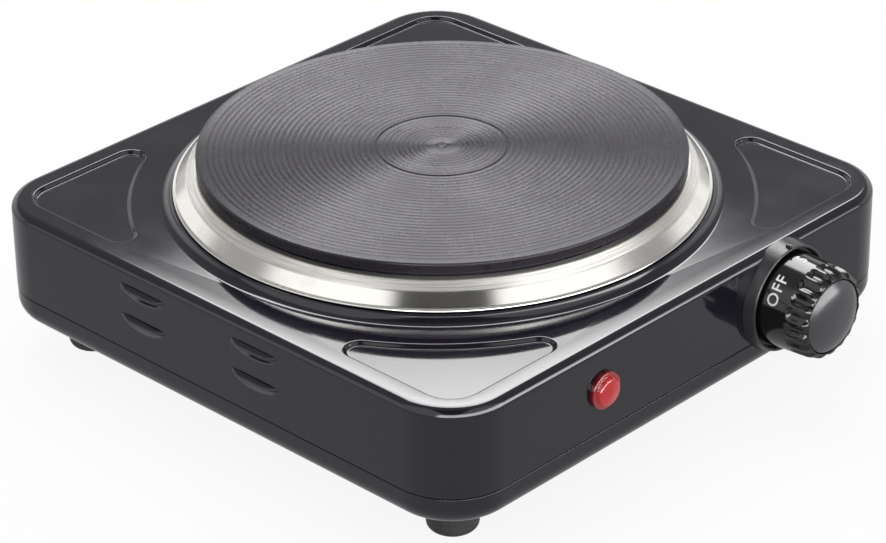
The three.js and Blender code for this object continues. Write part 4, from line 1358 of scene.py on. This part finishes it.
@dataclass
class Fasteners(Assembly):
    """The rubber feet, the screws in them and the base cover's screws."""

    radius: float = 1.9
    thread: float = 0.4
    tip: float = 1.2
    plain: float = 2.5
    head: float = 3.7
    head_height: float = 2.4
    foot_seat: float = 4.7
    foot_length: float = 13.0
    cover_seat: float = 13.2
    cover_length: float = 6.5
    thread_pitch: float = 1.1
    cross_width: float = 1.1
    cross_reach: float = 2.1
    foot_sides: int = 64
    screw_sides: int = 40
    cross_depth: float = 1.4
    cross_taper: float = 0.55

    def foot(self, name: str, place: Place) -> None:
        """Builds one rubber foot with its screw recess.

        Args:
            name: its corner.
            place: where its axis is.
        """
        form = Form.turned(
            [
                (4.3, 0.0, 0.3), (7.9, 0.0, 2.6), (8.6, 13.4, 0.3), (2.2, 13.4), (2.2, 5.0),
                (4.3, 5.0, 0.3),
            ],
            self.foot_sides,
            closed=True,
        )
        dress = Dress(self.finishes.rubber, "rubber", (f"foot_{name}",))
        make_piece(form, f"rubber_foot_{name}", place, dress)

    def recess(self, level: float) -> Form:
        """Makes a cross recess that goes up from a level.

        Args:
            level: the level of the screw's face.

        Returns:
            The recess.
        """
        form = Form()
        bm = form.bm
        half = self.cross_width / 2
        bmesh.ops.create_grid(bm, x_segments=1, y_segments=1, size=half)
        form.shift(0, 0, level)
        for edge in bm.edges[:]:
            middle = (edge.verts[0].co + edge.verts[1].co) / 2
            away = Vector((middle.x, middle.y, 0)).normalized() * (self.cross_reach - half)
            form.pull(bmesh.ops.extrude_edge_only(bm, edges=[edge]), away)
        made = bmesh.ops.extrude_face_region(bm, geom=bm.faces[:])
        deep = form.pull(made, (0, 0, self.cross_depth))
        bmesh.ops.scale(bm, vec=(self.cross_taper, self.cross_taper, 1), verts=deep)
        form.drop_faces([f for f in bm.faces if all(abs(v.co.z - level) < WELD for v in f.verts)])
        inner = [e for e in bm.edges if not e.link_faces]
        bmesh.ops.delete(bm, geom=inner, context="EDGES")
        return form

    def screw(
        self, kind: str, place: Place, seat: float, length: float
    ) -> None:
        """Builds one pan-head screw that is driven upwards to a seat.

        Args:
            kind: what it holds and where, such as foot_{}_rear_left.
            place: where its axis is.
            seat: the level of its head's inner face.
            length: its length under the head.
        """
        low, core = seat - self.head_height, self.radius - self.thread
        threads = []
        for i in range(int((length - self.plain) / self.thread_pitch)):
            level = seat + self.tip + i * self.thread_pitch
            threads += [(core, level), (self.radius, level + self.thread_pitch / 2)]
        form = Form.turned(
            [
                (2.6, low, 0.1), (self.head, low + 0.5, 1.3), (self.head, seat, 0.1),
                (core, seat), *threads, (core, seat + length - self.tip), (0.0, seat + length),
            ],
            self.screw_sides,
        )
        form.take(self.recess(low))
        form.fill_level(low, -1)
        form.weld()
        dress = Dress(self.finishes.zinc, "zinc_steel", (kind.format("screw"),))
        make_piece(form, kind.format("fixing"), place, dress)

    def build(self) -> None:
        """Builds the four feet and their eight screws."""
        for x, y in QUARTERS:
            name = f"{'rear' if y > 0 else 'front'}_{'right' if x > 0 else 'left'}"
            foot = Place(x * FOOT_AT[0], y * FOOT_AT[1])
            cover = Place(x * COVER_SCREW_AT[0], y * COVER_SCREW_AT[1])
            self.foot(name, foot)
            self.screw(f"foot_{{}}_{name}", foot, self.foot_seat, self.foot_length)
            self.screw(f"cover_{{}}_{name}", cover, self.cover_seat, self.cover_length)


# ---------------------------------------------------------------- heating plate


@dataclass
class HeatingPlate(Assembly):
    """The cast-iron plate with its turned top."""

    top: float = 68.6
    radius: float = 77.5
    edge_round: float = 0.7
    rim_bottom: float = 65.1
    neck: float = 75.3
    neck_bottom: float = 62.7
    skirt: float = 77.2
    skirt_bottom: float = 52.5
    skirt_inner: float = 73.0
    underside: float = 61.6
    boss: float = 9.5
    stud_hole: float = 2.8
    stud_roof: float = 61.8
    first_groove: float = 22.7
    last_groove: float = 76.1
    pitch: float = 1.907
    inner_first: float = 6.2
    inner_last: float = 19.0
    inner_pitch: float = 1.58
    inner_width: float = 0.68
    inner_depth: float = 0.14
    ring: float = 20.8
    ring_width: float = 1.0
    ring_depth: float = 0.34
    groove_width: float = 0.85
    groove_depth: float = 0.2
    steps: int = 192

    def groove(self, radius: float, width: float, depth: float) -> list[Corner]:
        """Lists the corners of one groove, from its inner side outwards.

        Args:
            radius: its middle.
            width: its width.
            depth: its depth.

        Returns:
            The corners.
        """
        return [
            (radius - width / 2, self.top), (radius - width / 5, self.top - depth),
            (radius + width / 5, self.top - depth), (radius + width / 2, self.top),
        ]

    def grooves(self) -> list[Corner]:
        """Lists the whole turned face's corners from the centre outwards.

        Returns:
            The face's corners.
        """
        face = [
            (0.0, self.top - 0.75), (1.0, self.top - 0.7), (2.1, self.top - 0.1), (2.5, self.top),
        ]
        inner = round((self.inner_last - self.inner_first) / self.inner_pitch)
        for i in range(inner + 1):
            radius = self.inner_first + i * self.inner_pitch
            face += self.groove(radius, self.inner_width, self.inner_depth)
        face += self.groove(self.ring, self.ring_width, self.ring_depth)
        for i in range(round((self.last_groove - self.first_groove) / self.pitch)):
            radius = self.first_groove + i * self.pitch
            face += self.groove(radius, self.groove_width, self.groove_depth)
        return face

    def build(self) -> None:
        """Builds the plate."""
        form = Form.turned(
            [
                *self.grooves(), (self.radius, self.top, self.edge_round),
                (self.radius, self.rim_bottom, 0.5), (self.neck, self.rim_bottom, 0.3),
                (self.neck, self.neck_bottom, 0.3), (self.skirt, self.neck_bottom, 0.3),
                (self.skirt, self.skirt_bottom, 0.3), (self.skirt_inner, self.skirt_bottom, 0.3),
                (self.skirt_inner, self.underside, 1.0), (self.boss, self.underside, 1.0),
                (self.boss, self.skirt_bottom, 0.3), (self.stud_hole, self.skirt_bottom),
                (self.stud_hole, self.stud_roof), (0.0, self.stud_roof),
            ],
            self.steps,
        )
        dress = Dress(self.finishes.iron, "cast_iron", ("heating_plate",))
        make_piece(form, "turned_plate", Place(), dress)


@dataclass
class TrimRing(Assembly):
    """The bright spill ring between the plate's neck and the platform."""

    inner: float = 75.6
    lip: float = 78.0
    lip_top: float = 63.6
    knee: float = 81.0
    knee_level: float = 60.9
    hem: float = 84.2
    hem_level: float = 57.3
    rim: float = 85.2
    rim_level: float = 56.9
    sheet: float = 0.6
    steps: int = 192

    def build(self) -> None:
        """Builds the ring as one bent sheet with a rolled rim."""
        form = Form.turned(
            [
                (self.inner, self.lip_top), (self.lip, self.lip_top, 1.0),
                (self.knee, self.knee_level, 2.5), (self.hem, self.hem_level, 0.8),
                (self.rim, self.rim_level),
            ],
            self.steps,
        )
        dress = Dress(self.finishes.ring, "bright_steel", ("trim_ring",))
        make_piece(form, "spill_ring", Place(), dress, Sheet(self.sheet, 0.28, (0, 0, 1)))


# ---------------------------------------------------------------- control and lamp


@dataclass
class Control(Assembly):
    """The thermostat's knob, its cap, its collar and its dial numbers."""

    rear: float = 2.6
    front: float = 22.4
    rear_radius: float = 15.4
    front_radius: float = 14.2
    face: float = 12.5
    flutes: int = 18
    flute_depth: float = 1.1
    flute_start: float = 13.8
    flute_end: float = 21.0
    flute_run: float = 1.6
    flute_width: float = 15.5
    first_flute: float = 103.0
    print_at: float = 7.8
    print_height: float = 3.8
    print_raise: float = 0.06
    print_step: float = 0.8
    letter_share: float = 0.70
    collar_seat: float = 0.05
    most_back: float = 1.8
    flute_steps: int = 12
    cap_sides: int = 96
    collar_sides: int = 144
    markings: Sequence[tuple[str, float]] = (
        ("OFF", -52.7), ("5", 0), ("4", 52), ("3", 104), ("2", 156), ("1", 208),
    )

    def place(self) -> Place:
        """Returns the control's place on the front wall."""
        return Place(KNOB_AT[0], -HALF, KNOB_AT[1], Wall.FRONT)

    def cone(self, out: float) -> float:
        """Returns the knob's radius at a distance out from the wall."""
        share = (out - self.rear) / (self.front - self.rear)
        return self.rear_radius + (self.front_radius - self.rear_radius) * share

    def scoop(self, form: Form) -> None:
        """Presses the closed grip flutes into the knob's side.

        Args:
            form: the knob's form.
        """
        pitch = FULL_TURN / self.flutes
        width = math.radians(self.flute_width) / 2
        for vert in form.bm.verts:
            out, radius = vert.co.z, math.hypot(vert.co.x, vert.co.y)
            if not self.flute_start < out < self.flute_end or radius < self.face:
                continue
            angle = math.atan2(vert.co.y, vert.co.x) - math.radians(self.first_flute)
            off = abs((angle + pitch / 2) % pitch - pitch / 2) / width
            from_end = min(out - self.flute_start, self.flute_end - out) / self.flute_run
            along = math.sqrt(max(0.0, 1 - max(0.0, 1 - from_end) ** 2))
            depth = self.flute_depth * along * max(0.0, 1 - off**2)
            scale = (radius - depth) / radius
            vert.co.x *= scale
            vert.co.y *= scale

    def knob(self) -> None:
        """Builds the fluted knob with its hollow back and hub."""
        form = Form.turned(
            [
                (0.0, 19.6), (12.1, 19.6, 0.2), (12.1, 20.9, 0.25), (12.75, 20.9, 0.2),
                (13.95, 19.9, 1.8), (self.cone(18.0), 18.0, 4.0),
                (self.rear_radius, self.rear, 0.4), (13.6, self.rear, 0.3), (11.3, 17.1, 0.8),
                (5.3, 17.1, 0.5), (5.3, 3.4, 0.2), (3.3, 3.4), (3.3, 14.9), (0.0, 14.9),
            ],
            self.flutes * self.flute_steps,
            step=0.6,
        )
        self.scoop(form)
        dress = Dress(self.finishes.phenolic, "knob_black", ("knob",), CONTROL)
        make_piece(form, "fluted_knob", self.place(), dress)

    def cap(self) -> None:
        """Builds the satin cap in the knob's face."""
        form = Form.turned(
            [
                (0.0, 19.8), (11.85, 19.8, 0.1), (11.85, 20.7, 0.4), (9.8, 22.05, 7.0),
                (6.2, 23.2, 11.0), (2.4, 23.6, 14.0), (0.0, 23.6),
            ],
            self.cap_sides,
            step=1.5,
        )
        dress = Dress(self.finishes.satin, "cap_satin", ("knob_cap",), CONTROL)
        make_piece(form, "satin_cap", self.place(), dress)

    def follow_edge(self, height: float) -> float:
        """Measures how far back the housing's rounded edge lies.

        Args:
            height: the height above the control's axis.

        Returns:
            The distance behind the front wall's face.
        """
        start, radius = TOP - TOP_ROUND, TOP_ROUND
        rise = min(max(KNOB_AT[1] + height - start, 0.0), radius)
        return min(self.most_back, radius - math.sqrt(radius**2 - rise**2))

    def collar(self) -> None:
        """Builds the collar, which follows the housing's rounded edge at its top."""
        seat = self.collar_seat
        form = Form()
        form.profile(
            [
                (3.6, seat), (16.4, seat), (18.1, seat), (17.3, 4.0, 0.5), (16.4, 4.0, 0.45),
                (16.2, 1.8, 0.3), (3.6, 1.8),
            ],
            closed=True,
        )
        form.turn(self.collar_sides)
        for vert in form.bm.verts:
            if abs(vert.co.z - seat) < WELD:
                vert.co.z -= self.follow_edge(vert.co.y)
        mark = Form()
        bmesh.ops.create_cube(mark.bm, size=1.0)
        mark.stretch(0.9, 1.5, 2.0)
        mark.shift(0, 17.65, 2.75)
        mark.bevel(mark.bm.edges[:], 0.15, 3)
        form.take(mark)
        dress = Dress(self.finishes.surround, "knob_black", ("knob_collar",))
        make_piece(form, "knob_surround", self.place(), dress)

    def numeral(self, text: str, degrees: float) -> None:
        """Prints one dial marking on the knob's side.

        Args:
            text: the marking.
            degrees: its place, clockwise from the top as seen from the front.
        """
        name = f"dial_{text.lower()}"
        curve = bpy.data.curves.new(name, "FONT")
        curve.body = text
        curve.size = self.print_height / self.letter_share
        curve.align_x = "CENTER"
        curve.space_character = 1.12
        curve.offset = 0.05
        curve.extrude = self.print_raise / 2
        curve.resolution_u = 5
        flat = bpy.data.objects.new(name + "_flat", curve)
        bpy.context.scene.collection.objects.link(flat)
        graph = bpy.context.evaluated_depsgraph_get()
        mesh = bpy.data.meshes.new_from_object(flat.evaluated_get(graph))
        bpy.data.objects.remove(flat)
        form = Form()
        form.bm.from_mesh(mesh)
        bpy.data.meshes.remove(mesh)
        form.weld()
        bmesh.ops.triangulate(form.bm, faces=form.bm.faces[:])
        long = [e for e in form.bm.edges if e.calc_length() > self.print_step]
        bmesh.ops.subdivide_edges(form.bm, edges=long, cuts=2)
        for vert in form.bm.verts:
            out = self.print_at - (vert.co.y - self.print_height / 2)
            radius = self.cone(out) + self.print_raise / 2 + vert.co.z
            angle = math.radians(90 - degrees) - vert.co.x / self.cone(out)
            vert.co = Vector((radius * math.cos(angle), radius * math.sin(angle), out))
        dress = Dress(self.finishes.print, "dial_white", (), CONTROL)
        make_piece(form, name, self.place(), dress)

    def build(self) -> None:
        """Builds the whole control."""
        self.collar()
        self.knob()
        self.cap()
        for text, degrees in self.markings:
            self.numeral(text, degrees)


@dataclass
class IndicatorLamp(Assembly):
    """The red lens in the front wall."""

    sides: int = 64

    def build(self) -> None:
        """Builds the lens with its flange, dome and barrel."""
        place = Place(LAMP_AT[0], -HALF, LAMP_AT[1], Wall.FRONT)
        form = Form.turned(
            [
                (3.2, -12.0), (4.2, -12.0), (4.2, 0.05), (6.0, 0.05, 0.1), (6.0, 1.5, 0.45),
                (4.7, 1.55, 0.2), (4.4, 2.9, 0.9), (0.0, 3.9), (0.0, 2.7), (3.2, 1.2),
            ],
            self.sides,
            closed=True,
            step=1.2,
        )
        origin = place.matrix().translation
        dress = Dress(LampRed().material(origin), "red_lens", ("lamp_lens",))
        make_piece(form, "red_indicator", place, dress)


@dataclass
class CordInlet(Assembly):
    """The rubber bushing in the rear wall where the cord enters."""

    sides: int = 64

    def build(self) -> None:
        """Builds the bushing."""
        form = Form.turned(
            [
                (3.7, -3.6, 0.3), (7.5, -3.6, 0.4), (8.8, -1.0, 0.2), (7.0, -0.9), (7.0, 0.05),
                (9.5, 0.05, 0.1), (9.2, 1.7, 0.7), (5.4, 2.6, 0.6), (3.7, 2.6, 0.4),
            ],
            self.sides,
            closed=True,
        )
        dress = Dress(self.finishes.rubber, "rubber", ("cord_gland",))
        make_piece(form, "inlet_bushing", Place(INLET_AT[0], HALF, INLET_AT[1], Wall.REAR), dress)


# ---------------------------------------------------------------- inside


@dataclass
class InnerParts(Assembly):
    """The parts inside the casing: their CAD solids with finishes, and rounder wires."""

    wire_rounding: int = 2

    def wire(self, node: str, slot: str, material: bpy.types.Material) -> None:
        """Builds one round wire over its CAD solid.

        Args:
            node: the wire's node.
            slot: its slot.
            material: its sleeve's material.
        """
        form = Form()
        form.bm.from_mesh(frame["nodes"][node].data)
        bmesh.ops.remove_doubles(form.bm, verts=form.bm.verts[:], dist=1e-6)
        bmesh.ops.join_triangles(
            form.bm,
            faces=form.bm.faces[:],
            angle_face_threshold=math.radians(30),
            angle_shape_threshold=math.pi,
        )
        form.point_outwards()
        obj = form.put_out(f"sleeved_{node}")
        obj.data.shade_smooth()
        smooth = obj.modifiers.new("round", "SUBSURF")
        smooth.levels = self.wire_rounding
        smooth.render_levels = self.wire_rounding
        settle(obj, Dress(material, slot, (node,)))

    def build(self) -> None:
        """Dresses every inner node by its slot in the record."""
        looks = self.finishes.by_slot()
        for part in frame["record"]["subparts"]:
            node, slot = part["node"], part["material_slot"]
            if slot in self.finishes.sleeves:
                self.wire(node, slot, looks[slot])
            elif slot in looks:
                solid = frame["nodes"][node]
                for holder in solid.material_slots:
                    holder.material = looks[slot]
                log.info("dressed %s as %s", node, slot)


# ---------------------------------------------------------------- studio


@dataclass
class Studio:
    """Camera, floor and plain light."""

    azimuth: float = -45.83651624
    elevation: float = 28.92316639
    distance: float = 1.12821328765
    target: tuple[float, float, float] = (-2.19977, -1.80917, 24.86302)
    roll: float = -0.78864008
    focal_pixels: float = 3533.47317
    width: int = 886
    sensor: float = 36.0
    plain: float = 0.85
    room: float = 0.40
    softbox: float = 9.5
    tent: float = 1.3
    gap: float = 0.08
    front_panel: float = 9.0
    backdrop: float = 0.7
    horizon: float = 0.02
    key_turn: float = 11.5
    key_rise: tuple[Range, Range] = ((27.9, 32.0), (90.0, 91.0))
    key_across: tuple[Range, Range] = ((-0.56, -0.50), (0.04, 0.14))
    key_ahead: tuple[Range, Range] = ((0.45, 0.58), (3.0, 3.1))
    tent_ahead: tuple[Range, Range] = ((-12.0, -8.0), (-0.25, 0.05))
    tent_gap: Range = (0.25, 0.45)
    front_turn: float = 146.0
    front_edge: Range = (0.48, 0.62)
    front_rise: tuple[Range, Range] = ((-6.0, 0.0), (20.0, 34.0))
    backdrop_edge: Range = (-0.1, 0.3)
    backdrop_rise: tuple[Range, Range] = ((-91.0, -90.0), (16.0, 25.0))
    lamp_way: tuple[float, float, float] = (0.3, 0.5, 1.4)
    lamp_distance: float = 1.6
    lamp_size: float = 1.2
    lamp_power: float = 9.0
    floor_size: float = 6000.0

    def backward(self) -> Vector:
        """Returns the direction from the object to the camera."""
        a, e = math.radians(self.azimuth), math.radians(self.elevation)
        return Vector((math.sin(a) * math.cos(e), -math.cos(a) * math.cos(e), math.sin(e)))

    def heading(self, turn: float, elevation: float) -> tuple[float, float, float]:
        """Works out a direction from the camera's own.

        Args:
            turn: degrees to the right of straight ahead.
            elevation: degrees up.

        Returns:
            The direction.
        """
        back = self.backward()
        angle = math.atan2(-back.x, -back.y) + math.radians(turn)
        flat = math.cos(math.radians(elevation))
        return (math.sin(angle) * flat, math.cos(angle) * flat, math.sin(math.radians(elevation)))

    def camera(self) -> None:
        """Places the camera at the photograph's angle."""
        data = bpy.data.cameras.new("camera")
        data.sensor_width = self.sensor
        data.lens = self.focal_pixels * self.sensor / self.width
        data.clip_start, data.clip_end = 0.05, 50.0
        back = self.backward()
        right = (-back).cross(Vector((0, 0, 1))).normalized()
        up = right.cross(-back)
        turn = math.radians(self.roll)
        side = right * math.cos(turn) + up * math.sin(turn)
        above = up * math.cos(turn) - right * math.sin(turn)
        spot = Vector(self.target) * MM + PLATE_AXIS + back * self.distance
        matrix = Matrix((side, above, back)).transposed().to_4x4()
        matrix.translation = spot
        obj = bpy.data.objects.new("camera", data)
        obj.matrix_world = matrix
        bpy.context.scene.collection.objects.link(obj)
        bpy.context.scene.camera = obj

    def floor(self) -> None:
        """Lays the pale floor, which keeps the object's shadow."""
        form = Form()
        bmesh.ops.create_grid(form.bm, x_segments=1, y_segments=1, size=self.floor_size)
        form.move(Matrix.Scale(MM, 4))
        obj = form.put_out("floor")
        material = bpy.data.materials.new("pale_floor")
        material.use_nodes = True
        n = Nodes(material.node_tree)
        path = n.add("ShaderNodeLightPath").outputs
        shiny = n.math("MAXIMUM", path["Is Glossy Ray"], path["Is Transmission Ray"])
        lit = n.add("ShaderNodeBsdfDiffuse", {"Color": (0.86, 0.86, 0.865, 1.0)})
        tone = n.mix(shiny, (1.0, 1.0, 1.0), (0.60, 0.60, 0.61))
        white = n.add("ShaderNodeEmission", {"Color": tone, "Strength": 1.0})
        share = n.times(n.math("MAXIMUM", path["Is Camera Ray"], shiny), 0.9)
        both = n.add("ShaderNodeMixShader", {0: share, 1: lit.outputs[0], 2: white.outputs[0]})
        n.add("ShaderNodeOutputMaterial", {0: both.outputs[0]})
        obj.data.materials.append(material)

    def world(self) -> None:
        """Lights the object plainly and gives its gloss a backdrop, a softbox and a dark room."""
        world = bpy.data.worlds.new("studio")
        world.use_nodes = True
        bpy.context.scene.world = world
        n = Nodes(world.node_tree)
        ray = n.add("ShaderNodeTexCoord").outputs["Generated"]
        ray = n.vector("NORMALIZE", {0: ray})
        _, _, height = n.split(ray)
        elevation = n.times(n.math("ARCSINE", height), 180 / math.pi)
        above = n.math("MAXIMUM", height, self.horizon)
        across, ahead, key_across, key_ahead = (
            n.math("DIVIDE", n.along(ray, self.heading(turn, 0)), above)
            for turn in (90, 0, 90 + self.key_turn, self.key_turn)
        )
        key = n.window(elevation, *self.key_rise)
        key = n.times(key, n.window(key_across, *self.key_across))
        key = n.times(key, n.window(key_ahead, *self.key_ahead))
        nearer = n.window(ahead, *self.tent_ahead)
        tent = n.spread(n.math("ABSOLUTE", across), *self.tent_gap)
        tent = n.spread(tent, 0.0, 1.0, self.gap - self.room, self.tent - self.room)
        front = n.spread(n.along(ray, self.heading(self.front_turn, 0)), *self.front_edge)
        front = n.times(front, n.window(elevation, *self.front_rise))
        white = n.spread(n.along(ray, self.heading(0, 0)), *self.backdrop_edge)
        white = n.times(white, n.window(elevation, *self.backdrop_rise))
        bright = n.plus(self.room, n.times(tent, nearer))
        masks = ((key, self.softbox), (front, self.front_panel), (white, self.backdrop))
        for mask, strength in masks:
            bright = n.plus(bright, n.times(mask, strength))
        room = n.join(bright, bright, bright)
        path = n.add("ShaderNodeLightPath").outputs
        shiny = n.math("MAXIMUM", path["Is Glossy Ray"], path["Is Transmission Ray"])
        colour = n.mix(shiny, (self.plain, self.plain, self.plain), room)
        colour = n.mix(path["Is Camera Ray"], colour, (1.0, 1.0, 1.0))
        sky = n.add("ShaderNodeBackground", {"Color": colour, "Strength": 1.0})
        n.add("ShaderNodeOutputWorld", {0: sky.outputs[0]})

    def lamp(self) -> None:
        """Hangs a soft square lamp that gloss doesn't show."""
        data = bpy.data.lights.new("soft_key", "AREA")
        data.shape = "SQUARE"
        data.size = self.lamp_size
        data.energy = self.lamp_power
        obj = bpy.data.objects.new("soft_key", data)
        way = Vector(self.lamp_way).normalized()
        obj.location = PLATE_AXIS + way * self.lamp_distance
        obj.rotation_euler = way.to_track_quat("Z", "Y").to_euler()
        obj.visible_glossy = False
        bpy.context.scene.collection.objects.link(obj)

    def build(self) -> None:
        """Sets up the whole studio."""
        scene = bpy.context.scene
        scene.view_settings.view_transform = "Standard"
        self.camera()
        self.floor()
        self.world()
        self.lamp()


# ---------------------------------------------------------------- the object


def main() -> None:
    """Builds the object and its studio."""
    logging.basicConfig(level=logging.INFO, format="%(name)s: %(message)s")
    Studio().build()
    finishes, casing = Finishes(), Casing()
    for group in (
        InnerParts(finishes),
        Housing(finishes, casing),
        ScrewBrackets(finishes),
        BaseCover(finishes, casing),
        Fasteners(finishes),
        HeatingPlate(finishes),
        TrimRing(finishes),
        Control(finishes),
        IndicatorLamp(finishes),
        CordInlet(finishes),
    ):
        group.build()


if __name__ == "__main__":
    main()
